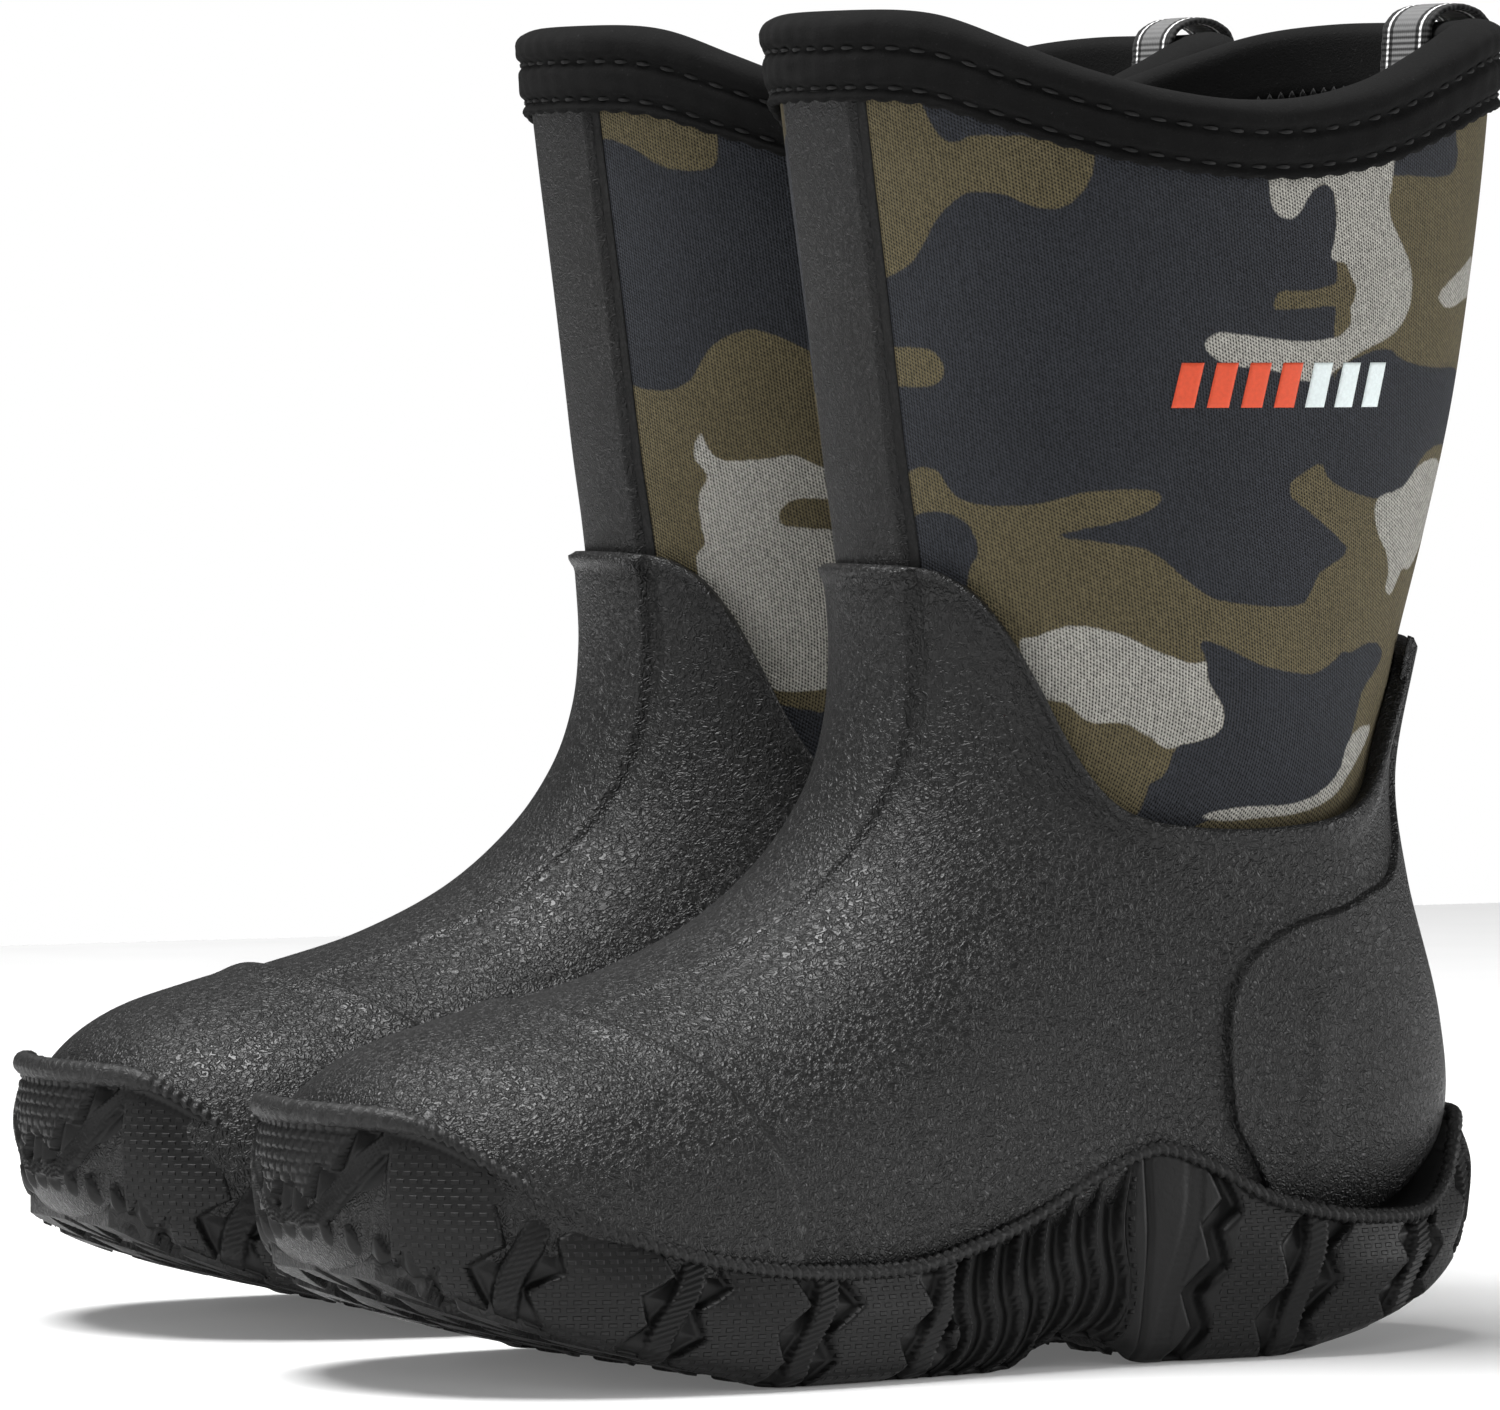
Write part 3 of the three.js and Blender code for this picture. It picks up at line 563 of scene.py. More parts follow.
# %% [markdown]
# The outsole is the same rubber, but duller, with rows of short raised dashes moulded on
# its panels. The dashes are too small for the mesh, so they are drawn from the wall's own
# measure: x runs round the sole and y up it. A field says which places are panels.

# %% Outsole finish
def outsole_finish():
    f = Finish("outsole_rubber", Specular_IOR_Level=0.25)
    at = f.place()
    round_it, up = f.fabric_mm()
    panel = f.field("panel").clip(0.3, 0.7)
    row = up.wave(1.25)
    odd = (up * (1 / 1.25)).maths("ROUND").maths("MODULO", 2.0)
    dash = (round_it + odd * 1.15).wave(2.3).clip(0.25, 0.5)
    marks = row.clip(0.35, 0.65) * dash * panel
    fine = f.noise(at, 900, 2, 0.6)
    cloud = f.noise(at, 45, 3)
    colour = f.mix(cloud * 0.6 + fine * 0.25, grey(12), grey(24))
    # painted highlight: the raised dashes are coloured lighter than the rubber around them
    colour = f.mix(marks * 0.35, colour, grey(40))
    rough = 0.5 + (fine - 0.5) * 0.2 + (cloud - 0.5) * 0.15
    first = f.bump(marks, 0.28 * MM)
    return f.use(Base_Color=colour, Roughness=rough,
                 Normal=f.bump(fine, 0.05 * MM, before=first))


outsole_rubber = outsole_finish()
tread_rubber = rubber("tread_rubber", 20, 0.5, 1.6, 0.08)
print("outsole finish ready")

# %% [markdown]
# The shaft is neoprene faced with a ribbed knit, printed in three colours. The print's
# outlines are stored on the mesh as two distances in millimetres, and cut sharp here, so
# the blobs stay crisp at any zoom. The knit is drawn in cloth measure: fine upright ribs
# with a small hole between stitches. Painted shade darkens the valleys and the holes and
# lightens the tops of ribs and loops, and a few stray fibres break up the colour.

# %% Camouflage knit
def camouflage():
    f = Finish("camouflage_knit", Specular_IOR_Level=0.12, Sheen_Weight=0.05,
               Sheen_Roughness=0.55)
    s, z = f.fabric_mm()
    at = f.place()
    wobble = f.noise(at, 700, 2) - 0.5
    olive = (f.field("olive") + wobble * 0.5).clip(-0.18, 0.18)
    pale = (f.field("pale") + wobble * 0.5).clip(-0.18, 0.18)
    rib = (s + wobble * 0.25).wave(0.52)
    loop = (z + s * 0.5 + wobble * 0.2).wave(0.6)
    hole = (1 - rib).clip(0.45, 0.95) * (1 - loop).clip(0.3, 0.9)
    fibre = f.noise(at, 1500, 2)
    cloud = f.noise(at, 70, 3)
    colour = f.mix(olive, srgb(50, 52, 57), srgb(97, 89, 67))
    colour = f.mix(pale, colour, srgb(166, 164, 157))
    # painted shade: tops of ribs and loops lighter, holes between stitches darker; fibre and cloud are
    # the yarn's own tone
    shade = 0.74 + rib * 0.30 + loop * 0.16 - hole * 0.85
    shade = shade + (fibre - 0.5) * 1.2 + (cloud - 0.5) * 0.25
    height = rib * 0.6 + loop * 0.4 - hole * 0.8 + fibre * 0.3
    rough = 0.82 + (fibre - 0.5) * 0.15
    return f.use(Base_Color=f.tint(colour, shade), Roughness=rough,
                 Normal=f.bump(height, 0.16 * MM))


camouflage_knit = camouflage()
print("knit finish ready")

# %% [markdown]
# The remaining soft finishes: the matt stretch fabric of the collar, the fleece inside,
# sewing thread, the woven pull loop with its light bands, and the footbed's top cloth.
# Each has its own small weave or pile, never one flat colour.

# %% Collar fabric, fleece, thread and footbed cloth
def soft(name, level, pile_mm, depth_mm, sheen, fleck=0.0):
    """Matt cloth: a pile of fine noise, with paler flecks where fleck is over 0."""
    f = Finish(name, Specular_IOR_Level=0.08, Sheen_Weight=sheen, Sheen_Roughness=0.6)
    at = f.place()
    pile = f.noise(at, 1000 / pile_mm, 3, 0.8, 0.7)
    cloud = f.noise(at, 90, 3)
    colour = f.mix(pile * 0.6 + cloud * 0.35, grey(level - 7), grey(level + 13))
    if fleck:
        colour = f.mix(pile.clip(0.66, 0.78) * fleck, colour, grey(level + 75))
    rough = 0.9 + (pile - 0.5) * 0.12
    return f.use(Base_Color=colour, Roughness=rough, Normal=f.bump(pile, depth_mm * MM))


collar_fabric = soft("collar_fabric", 16, 0.42, 0.22, 0.01, 0.6)
fleece = soft("fleece_pile", 18, 0.9, 0.7, 0.1)
thread_finish = soft("sewing_thread", 40, 0.3, 0.08, 0.05)
footbed_cloth = soft("footbed_cloth", 44, 0.6, 0.2, 0.2, 0.3)


def webbing():
    """Bands across the strap by distance from its middle; ribs run straight across it."""
    f = Finish("woven_webbing", Specular_IOR_Level=0.3, Sheen_Weight=0.1)
    across, along = f.fabric_mm()
    away = abs(across)
    middle = 1 - away.clip(3.25, 3.45)
    line = away.clip(4.35, 4.45) * (1 - away.clip(5.0, 5.1))
    ribs = along.wave(0.95)
    yarn = across.wave(0.6)
    fuzz = f.noise(f.place(), 1500, 2)
    colour = f.mix(middle, grey(18), grey(108))
    colour = f.mix(line, colour, grey(238))
    # painted shade: rib and yarn crests a little lighter than their valleys; fuzz is the yarn's own
    # tone
    shade = 0.92 + ribs * 0.05 + yarn * 0.06 + (fuzz - 0.5) * 0.3
    height = ribs * 0.7 + yarn * 0.3
    return f.use(Base_Color=f.tint(colour, shade), Roughness=0.75 + (fuzz - 0.5) * 0.2,
                 Normal=f.bump(height, 0.14 * MM))


loop_webbing = webbing()
print("soft finishes ready")

# %% [markdown]
# The midsole board and the steel shank are sealed inside the boot, so their solids stay as
# they are and only take a finish: speckled foam board, and steel brushed along its length.

# %% Finishes for the sealed pieces
def board_finish():
    f = Finish("pressed_board", Specular_IOR_Level=0.2)
    grain = f.noise(f.place(), 800, 4)
    return f.use(Base_Color=f.mix(grain, grey(120, 0.08), grey(165, 0.1)),
                 Roughness=0.85 + (grain - 0.5) * 0.1, Normal=f.bump(grain, 0.1 * MM))


def steel_finish():
    f = Finish("brushed_steel", Metallic=1.0)
    stretch = f.node("ShaderNodeMapping",
                     inputs={"Vector": f.place(), "Scale": (20, 900, 900)})
    lines = f.noise(stretch, 1, 3)
    return f.use(Base_Color=f.mix(lines, grey(150), grey(190)), Roughness=0.3 + lines * 0.2,
                 Normal=f.bump(lines, 0.02 * MM))


for sealed, material in (("midsole", board_finish()), ("shank", steel_finish())):
    for side in SIDES:
        for material_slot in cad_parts[f"{side}_{sealed}"].material_slots:
            material_slot.material = material
print("sealed pieces finished")

# %% [markdown]
# The moulded rubber foot. Its skin runs from the toe tip up to a wavy top edge, turns over
# a thin flared lip and comes back down inside. The column spacing is closer where the
# raised shin band ends, because that step is only a millimetre wide. The band, the groove
# beside it and the lip are real shape, not only shading.

# %% Rubber shell
IN_NEOPRENE, IN_LINING = -3.5, -5.3
SHELL_IN, SHELL_OUT = 0.3, 2.6
FULL = 2 * math.pi
BAND = 11.6                       # half width of the raised shin band
BAND_TURN, BAND_CLOSE = 0.36, 0.09      # where the band's edge lies, and how near is near
SHELL_COLS, SHELL_ROWS = 400, 170
ROW_MM = 10.5                     # one step of u is about this far at the shell's top edge


def dense_turns(count, spots):
    """Turns round the boot, closer together near each (turn, width, weight) spot."""
    t = np.linspace(0, FULL, 4001)
    weight = np.ones_like(t)
    for spot, width, extra in spots:
        gap = np.abs((t - spot + math.pi) % FULL - math.pi)
        weight += extra * hill(gap, width)
    total = np.concatenate([[0], np.cumsum((weight[1:] + weight[:-1]) / 2)])
    return np.interp(np.linspace(0, total[-1], count + 1)[:-1], total, t)


def shell_relief(u, turn, top):
    """Height of the shell's moulded lines: band minus groove, fading down the instep, plus
    a lip in the last millimetres under the top edge."""
    p = sock(u, turn)
    aside = np.abs(p[..., 1])
    front = np.cos(turn) > 0.3
    fade = smooth((u - 4.6) / 5.0)
    band = 0.75 * (1 - smooth((aside - BAND + 0.9) / 1.6))
    groove = -0.6 * hill(aside - BAND - 1.2, 1.0)
    crest = 0.45 * hill(aside - BAND, 1.0) * (1 - fade) * smooth((u - 2.6) / 1.5)
    under = (top - u) * ROW_MM
    lip = 0.85 * (1 - smooth((under - 0.5) / 2.2))
    return np.where(front, (band + groove) * fade + crest, 0.0) + lip


shell_turns = dense_turns(SHELL_COLS, [(BAND_TURN, BAND_CLOSE, 3.2),
                                       (FULL - BAND_TURN, BAND_CLOSE, 3.2)])
shell_top = shell_u(shell_turns)
outer_u = np.linspace(0, 1, SHELL_ROWS)[:, None] ** 0.92 * shell_top
outer = lay(outer_u, shell_turns, SHELL_OUT + shell_relief(outer_u, shell_turns, shell_top))
rim = [lay(shell_top + rise, shell_turns, np.full(SHELL_COLS, out)) for rise, out in
       ((0.035, 3.25), (0.055, 2.9), (0.05, 2.2), (0.03, 1.2), (0.0, 0.5))]
inner_u = np.linspace(1, 0, 14)[:, None] * shell_top
inner = lay(inner_u, shell_turns, np.full(inner_u.shape, SHELL_IN))
shell = skin(np.concatenate([outer, rim, inner]), wrap_cols=True, poles=(True, True))
pair("rubber_shell_skin", shell, shell_rubber, ["rubber_shell"])

# %% [markdown]
# The toe cap is a second layer over the toe. Its rear edge is a soft crest rather than a
# cut edge, so the layer swells a little before it falls to the shell.

# %% Toe cap
def u_at_cap(turn):
    """Place where the sock passes the toe cap's rear edge."""
    def above(u):
        p = sock(u, turn)
        return p[..., 0] > cap_x(p[..., 2])
    return halve(np.zeros(turn.shape), np.full(turn.shape, 9.0), above)


cap_turns = np.linspace(0, FULL, 300, endpoint=False)
cap_top = u_at_cap(cap_turns)
cap_u = (1 - (1 - np.linspace(0, 1, 90)[:, None]) ** 1.5) * cap_top
from_edge = (cap_top - cap_u) * 13.5
cap_out = 2.2 + 1.45 * smooth(from_edge / 2.6) + 0.55 * hill(from_edge - 3.2, 2.4)
cap_in_u = np.linspace(1, 0, 8)[:, None] * cap_top
cap_grid = np.concatenate([lay(cap_u, cap_turns, cap_out),
                           lay(cap_in_u, cap_turns, np.full(cap_in_u.shape, 1.6))])
pair("toe_cap_skin", skin(cap_grid, wrap_cols=True, poles=(True, True)), shell_rubber,
     ["toe_cap"])

# %% [markdown]
# The heel counter wraps the heel from one front edge round the back to the other. Its edge
# is crisp, with a narrow dark groove in front of it. A soft upright ridge stands inside.

# %% Heel counter
COUNTER_ROWS, COUNTER_COLS = 130, 300
COUNTER_RADIUS = 36.0             # turns times this are mm round the heel


def turn_at_counter(u, outer_side):
    """Turn at which a loop crosses the counter's front edge, on one side."""
    start = np.full(u.shape, 0.5 if outer_side else FULL - 0.5)

    def above(turn):
        p = sock(u, turn)
        return p[..., 0] > counter_x(p[..., 2])
    return halve(start, np.full(u.shape, math.pi), above)


counter_u = np.linspace(9.9, float(shell_u(math.pi)) - 0.15, COUNTER_ROWS)
edge_a, edge_b = turn_at_counter(counter_u, True), turn_at_counter(counter_u, False)
across = np.linspace(0, 1, COUNTER_COLS)
across = 0.5 - 0.5 * np.cos(math.pi * across)
counter_turn = edge_a[:, None] + (edge_b - edge_a)[:, None] * across
counter_grid_u = np.broadcast_to(counter_u[:, None], counter_turn.shape)
side_gap = COUNTER_RADIUS * np.minimum(counter_turn - edge_a[:, None],
                                       edge_b[:, None] - counter_turn)
top_gap = (counter_u[-1] - counter_grid_u) * 12
spot = sock(counter_grid_u, counter_turn)
ridge = 0.5 * hill(spot[..., 0] - 62, 2.4) * smooth((66 - spot[..., 2]) / 14)
counter_out = 2.3 + 1.35 * smooth(np.minimum(side_gap, top_gap + 0.4) / 0.9) + ridge
counter = np.concatenate([lay(counter_grid_u, counter_turn, counter_out),
                          lay(counter_grid_u, counter_turn,
                              np.full(counter_turn.shape, 1.8))[::-1]])
pair("heel_counter_skin", skin(counter, wrap_rows=True, ends=True), shell_rubber,
     ["heel_counter"])

# %% [markdown]
# The print is laid out on the shaft as cloth: s is the distance round from the front line,
# z the height. To know s at any place, level cuts are taken through the sock and their
# length is added up from the front. That gives a table that every pattern reads.

# %% Cloth measure round the shaft
LEVELS = np.linspace(66, 226, 81)
HALF_TURNS = np.linspace(0, math.pi, 161)


def level_table(sign):
    """u and distance s for every level and turn, on the outer (1) or inner (-1) side."""
    turn = np.broadcast_to(HALF_TURNS * sign, (len(LEVELS), len(HALF_TURNS)))
    level = np.broadcast_to(LEVELS[:, None], turn.shape)
    u = halve(np.full(turn.shape, 5.0), np.full(turn.shape, 21.0),
              lambda v: sock(v, turn)[..., 2] > level)
    p = sock(u, turn)
    step = np.linalg.norm(np.diff(p[..., :2], axis=1), axis=-1)
    s = np.concatenate([np.zeros((len(LEVELS), 1)), np.cumsum(step, 1)], 1)
    return u, s


TABLES = {1: level_table(1), -1: level_table(-1)}


def cloth_s(turn, z):
    """Distance from the front line: between the four nearest places of the level table."""
    turn = (turn + math.pi) % FULL - math.pi
    i = np.clip((z - LEVELS[0]) / (LEVELS[1] - LEVELS[0]), 0, len(LEVELS) - 1.001)
    j = np.clip(np.abs(turn) / HALF_TURNS[1], 0, len(HALF_TURNS) - 1.001)
    i0, j0 = i.astype(int), j.astype(int)
    fi, fj = i - i0, j - j0

    def read(table):
        low = table[i0, j0] * (1 - fj) + table[i0, j0 + 1] * fj
        high = table[i0 + 1, j0] * (1 - fj) + table[i0 + 1, j0 + 1] * fj
        return low * (1 - fi) + high * fi
    return np.where(turn >= 0, read(TABLES[1][1]), read(TABLES[-1][1]))


def cloth_place(s, z, sign=1):
    """u and turn of places given in cloth measure, for rows of equal z."""
    turn = np.empty(s.shape)
    for row, level in enumerate(z[:, 0]):
        k = (level - LEVELS[0]) / (LEVELS[1] - LEVELS[0])
        a = int(k)
        line = TABLES[sign][1][a] * (1 - k + a) + TABLES[sign][1][a + 1] * (k - a)
        turn[row] = np.interp(s[row], line, HALF_TURNS)
    turn = turn * sign
    u = halve(np.full(s.shape, 5.0), np.full(s.shape, 21.0),
              lambda v: sock(v, turn)[..., 2] > z)
    return u, turn


print("half way round at the collar:", round(float(TABLES[1][1][60, -1]), 1), "mm")

# %% [markdown]
# The print has three colours: slate ground, olive shapes on it, and pale grey shapes on
# both. Each blob is a closed smooth line. The nearest distance to it, positive inside, is
# taken at every point of the cloth. Painting one blob over another is then a maximum, and
# cutting one out is a minimum of distances.

# %% Camouflage blobs
OUTER_BLOBS = [
    ("olive", [(0, 174), (10, 174), (14.5, 175), (18.5, 177), (21, 180), (24, 184),
               (27, 186.5), (30, 188), (33, 188), (36, 187.5), (38, 186.5), (41, 185.5),
               (44.5, 185.5), (47.5, 187.5), (49.5, 190), (50.5, 193), (51, 206), (30, 222),
               (0, 222)]),
    ("slate", [(22, 212), (23, 204), (23.5, 202), (25, 198.5), (26.5, 196.5), (29, 196),
               (31.5, 197), (38, 197), (46, 198), (48, 212), (34, 218)]),
    ("olive", [(4, 157.5), (8, 157.3), (14, 157), (19, 157), (21.6, 158.4), (21.8, 161),
               (19.5, 163), (14, 163.3), (8, 163.5), (4, 163.5)]),
    ("olive", [(4, 138), (9, 138.5), (11.5, 142), (15, 144), (18.5, 143.5), (20, 141),
               (22, 139), (26, 138), (32, 138), (36, 138.5), (42, 140), (48, 140.5),
               (52.5, 140.5), (54.5, 140), (54.8, 138.6), (51, 136.5), (45.5, 135),
               (40, 134), (36.5, 133), (41, 132.5), (47, 131.7), (51, 131), (54, 129),
               (57.5, 125.7), (61.5, 123), (67, 122), (74, 121.5), (79, 122), (81, 124),
               (83.5, 127), (90, 130), (88, 132.5), (84.7, 135), (80.7, 137.7),
               (78.7, 139.3), (79, 141.5), (81.7, 143), (85.4, 144.6), (87, 142),
               (91.5, 140), (99, 138.7), (106.5, 140), (115, 146), (128, 147), (150, 142),
               (160, 110), (150, 66), (4, 66)]),
    ("slate", [(2, 134), (10, 135), (14, 136.5), (18, 137), (22, 135.5), (23.5, 133),
               (23.5, 130), (22, 128), (18, 120), (4, 116)]),
    ("olive", [(89, 158), (91, 160), (96, 162), (102, 163), (107, 161), (115, 160),
               (125, 160), (150, 161), (160, 190), (150, 216), (84, 216), (84, 190),
               (92, 189), (92, 178), (90, 165)]),
    ("slate", [(104, 191.5), (110, 191), (118, 190.8), (123, 191.5), (125.5, 194),
               (125, 198), (124, 206), (103, 206), (102, 198)]),
    ("pale", [(80, 204), (80, 190), (80, 186.5), (81, 184.5), (83.3, 183.8), (85.2, 184.8),
              (86.8, 186.8), (88, 188.2), (89.6, 189.2), (91, 189.4), (92.4, 188),
              (92.7, 185), (91.9, 181), (90.7, 177.6), (93.6, 176.8), (94.5, 174.8),
              (95.5, 173), (95.3, 171.5), (94, 170), (94, 167.6), (92.3, 165.6),
              (89, 164.6), (82.7, 164.2), (77, 164.7), (72.3, 165.3), (68, 165.6),
              (65.7, 164.4), (65.6, 162.8), (67.8, 161), (71.3, 160.2), (76.8, 159.7),
              (82.6, 158), (86.8, 158), (90.8, 160), (95.4, 162.4), (101.4, 164.4),
              (106, 166.8), (109, 170.8), (109.4, 175.7), (107.4, 179.7), (104.9, 183.7),
              (104.7, 187.6), (105.8, 190.4), (107, 206)]),
    ("olive", [(78.5, 170), (79.5, 171.8), (81, 172.3), (86, 172.4), (91, 173.4),
               (93.8, 174.2), (95, 172), (94.7, 170.4), (89.7, 169.9), (83.6, 169.5),
               (79.4, 169.3)]),
    ("pale", [(97.7, 137), (99.3, 139), (106.5, 140.6), (112.5, 144), (121, 145),
              (128, 143), (126, 138), (124, 134), (113, 127.3), (108, 127), (104, 123),
              (101.5, 124), (102.3, 126.5), (101.3, 129.7), (98.6, 133)]),
    ("pale", [(118, 171), (119, 172.4), (124, 174.6), (130, 176.5), (137, 178),
              (139, 172.4), (131, 171), (122, 169.6)]),
    ("pale", [(29, 115.6), (32, 117), (37, 118.6), (41, 118.4), (45.6, 117.2),
              (49.8, 115.2), (53.8, 113.5), (57.3, 112.5), (59.4, 112.8), (59.7, 110),
              (61.2, 107.5), (62.6, 105.5), (63, 103), (62, 101), (58.7, 99.8), (55.8, 99),
              (53.7, 99), (50.3, 101), (46, 103), (41.6, 103), (39.5, 103.8),
              (36.4, 106.3), (32, 107.7)]),
    ("slate", [(58.4, 115.6), (59.7, 116.2), (62.5, 115.2), (67.3, 113), (72.2, 111.5),
               (78.6, 110.5), (82, 110.8), (85.5, 112.3), (88.6, 114), (90.6, 113.7),
               (95, 115), (99.6, 115), (102.5, 113), (99.5, 110.3), (95.5, 107.5),
               (94, 104), (93, 101), (91, 97), (88, 91), (80, 88.5), (66, 87), (60, 80),
               (54, 80), (53.5, 90), (53, 93), (55, 94.6), (55.8, 99), (58.7, 99.8),
               (62, 101), (63, 103), (62.6, 105.5), (61.2, 107.5), (59.7, 110),
               (59.4, 112.8)]),
    ("slate", [(24, 108), (31, 105.5), (36, 100.5), (40, 96), (42, 88), (30, 86),
               (18, 100)]),
    ("pale", [(65, 87.6), (67, 88.6), (72, 89.2), (79, 89.4), (83.5, 90.3), (87.5, 92.6),
              (90, 95), (91, 97.8), (93, 100.2), (96.5, 101.4), (101, 101.4),
              (100, 99.4), (96.5, 96.6), (93.5, 94.2), (91, 91.8), (87.5, 89.4),
              (82, 87.9), (76, 87.4), (70, 87)]),
]
INNER_BLOBS = [
    ("olive", [(0, 197.4), (5, 197.4), (11.5, 198.2), (16.5, 197.6), (20.3, 196),
               (24, 193.8), (27.7, 192.8), (32.5, 192.8), (34.8, 194.2), (35.6, 199),
               (36, 215), (0, 222)]),
    ("olive", [(-2, 160), (5, 160), (9.5, 159.2), (12.5, 156.8), (17, 155.8), (21.5, 156),
               (25, 157.5), (27, 160), (29.5, 163), (33, 165), (37, 166), (41.3, 165),
               (45.3, 163), (52, 160), (60, 163), (68, 170), (78, 172), (88, 166),
               (98, 159), (112, 157), (125, 161), (150, 160), (165, 110), (150, 66),
               (-2, 66)]),
    ("slate", [(74, 150), (84, 154), (96, 150), (106, 142), (104, 132), (92, 128),
               (82, 132), (73, 140)]),
    ("olive", [(96, 178), (108, 182), (122, 186), (150, 188), (158, 200), (150, 216),
               (100, 216), (92, 200), (90, 186)]),
    ("pale", [(25.5, 148.6), (23.8, 144.7), (25.7, 141.3), (23.6, 138), (23, 133),
              (23.2, 130), (21, 126), (24, 112), (31.8, 106.5), (35.3, 105), (43.5, 105.6),
              (52, 108), (57, 116), (54, 126), (57, 134), (52, 141), (45.5, 143),
              (41.2, 145), (36.8, 144.3), (31.5, 144), (28.3, 144.3), (26.7, 146)]),
    ("olive", [(37, 134), (38, 136.2), (40.7, 137.5), (46, 137.5), (60, 136), (60, 132),
               (46, 132.4), (38, 133)]),
    ("slate", [(8, 110), (16, 109), (24, 106), (34, 103), (46, 101.5), (58, 105),
               (70, 104), (82, 98), (90, 88), (90, 66), (8, 66)]),
    ("pale", [(70, 186), (78, 190), (86, 188), (90, 180), (98, 176), (108, 178),
              (112, 172), (104, 166), (94, 168), (84, 174), (74, 178)]),
    ("pale", [(104, 126), (112, 130), (122, 128), (126, 118), (118, 110), (108, 112),
              (102, 118)]),
    ("slate", [(110, 104), (120, 106), (132, 100), (134, 88), (112, 88)]),
]


def blob_distance(s, z, corners, count=90):
    """Distance to a closed smooth line, positive inside. Inside is found by counting how
    many edges lie to the right of a place."""
    line = closed_line(np.asarray(corners, float), count + 2 * len(corners))
    best, inside = np.full(s.shape, 1e9), np.zeros(s.shape, bool)
    for (ax, az), (bx, bz) in zip(line, np.roll(line, -1, 0)):
        ex, ez = bx - ax, bz - az
        k = np.clip(((s - ax) * ex + (z - az) * ez) / max(ex * ex + ez * ez, 1e-9), 0, 1)
        best = np.minimum(best, (s - ax - k * ex) ** 2 + (z - az - k * ez) ** 2)
        if abs(ez) > 1e-9:
            inside ^= ((az > z) != (bz > z)) & (s < ax + (z - az) * ex / ez)
    return np.where(inside, 1, -1) * np.sqrt(best)


def paint(s, z, blobs):
    """The olive and pale distances after every blob is painted in turn."""
    fields = {"olive": np.full(s.shape, -50.0), "pale": np.full(s.shape, -50.0)}
    for colour, corners in blobs:
        d = blob_distance(s, z, corners)
        for name in fields:
            if name == colour:
                fields[name] = np.maximum(fields[name], d)
            elif colour == "slate" or name == "pale":
                fields[name] = np.minimum(fields[name], -d)
    return fields


print("blobs:", len(OUTER_BLOBS), "outer,", len(INNER_BLOBS), "inner")

# %% [markdown]
# The bootie itself: a thick soft sock. Only the shaft shows, so the foot gets a few rows
# and the shaft many. The two halves of the print meet at the back, under the rear strip.

# %% Neoprene bootie
BOOTIE_COLS = 340
bootie_turns = np.linspace(0, FULL, BOOTIE_COLS, endpoint=False)
low_u, high_u = shell_u(bootie_turns) - 0.5, collar_u(bootie_turns, 2.8)
foot_u = np.linspace(0, 1, 12)[:-1, None] * low_u
shaft_u = low_u + (high_u - low_u) * np.linspace(0, 1, 165)[:, None]
skin_u = np.concatenate([foot_u, shaft_u])
back_u = np.linspace(1, 0, 12)[:, None] * high_u
wide_turns = np.append(bootie_turns, FULL)


def with_seam(u):
    """Adds the first column again after the last, for the cloth measure."""
    return np.concatenate([u, u[:, :1]], 1)


every_u = with_seam(np.concatenate([skin_u, back_u]))
spot = sock(every_u, wide_turns)
measure = np.stack([cloth_s(np.broadcast_to(wide_turns, every_u.shape), spot[..., 2]),
                    spot[..., 2]], -1)
s_all, z_all = measure[:, :-1, 0], measure[:, :-1, 1]
outer_side = np.broadcast_to(bootie_turns <= math.pi, s_all.shape)
paint_outer, paint_inner = paint(s_all, z_all, OUTER_BLOBS), paint(s_all, z_all, INNER_BLOBS)
print_fields = {k: np.where(outer_side, paint_outer[k], paint_inner[k]) for k in paint_outer}
bootie_grid = np.concatenate([lay(skin_u, bootie_turns, np.zeros(skin_u.shape)),
                              lay(back_u, bootie_turns, np.full(back_u.shape, IN_NEOPRENE))])
bootie = skin(bootie_grid, measure, wrap_cols=True, poles=(True, True), fields=print_fields)
pair("neoprene_bootie_knit", bootie, camouflage_knit, ["neoprene_bootie"])

# %% [markdown]
# The fleece lining follows the inside of the bootie. Only its upper part can be seen, down
# the open collar, and its pile is soft, so an even grid is enough.

# %% Fleece lining
lining_turns = np.linspace(0, FULL, 120, endpoint=False)
lining_top = collar_u(lining_turns, 2.8)
lining_u = np.linspace(0, 1, 60)[:, None] * lining_top
tuft = 0.18 * np.sin(lining_turns * 37 + lining_u * 9) * np.sin(lining_u * 31)
lining_grid = np.concatenate([
    lay(lining_u, lining_turns, np.full(lining_u.shape, -3.8)),
    lay(lining_u[::-1], lining_turns, IN_LINING + tuft[::-1] * smooth(lining_u[::-1] - 1))])
pair("fleece_lining", skin(lining_grid, wrap_cols=True, poles=(True, True)), fleece,
     ["inner_lining"])

# %% [markdown]
# A rubber strip stiffens the shin, and a narrower one hides the seam at the back. Each is
# a raised band with rolled edges on a thin dark sheet, painted shadow that reads as a groove.

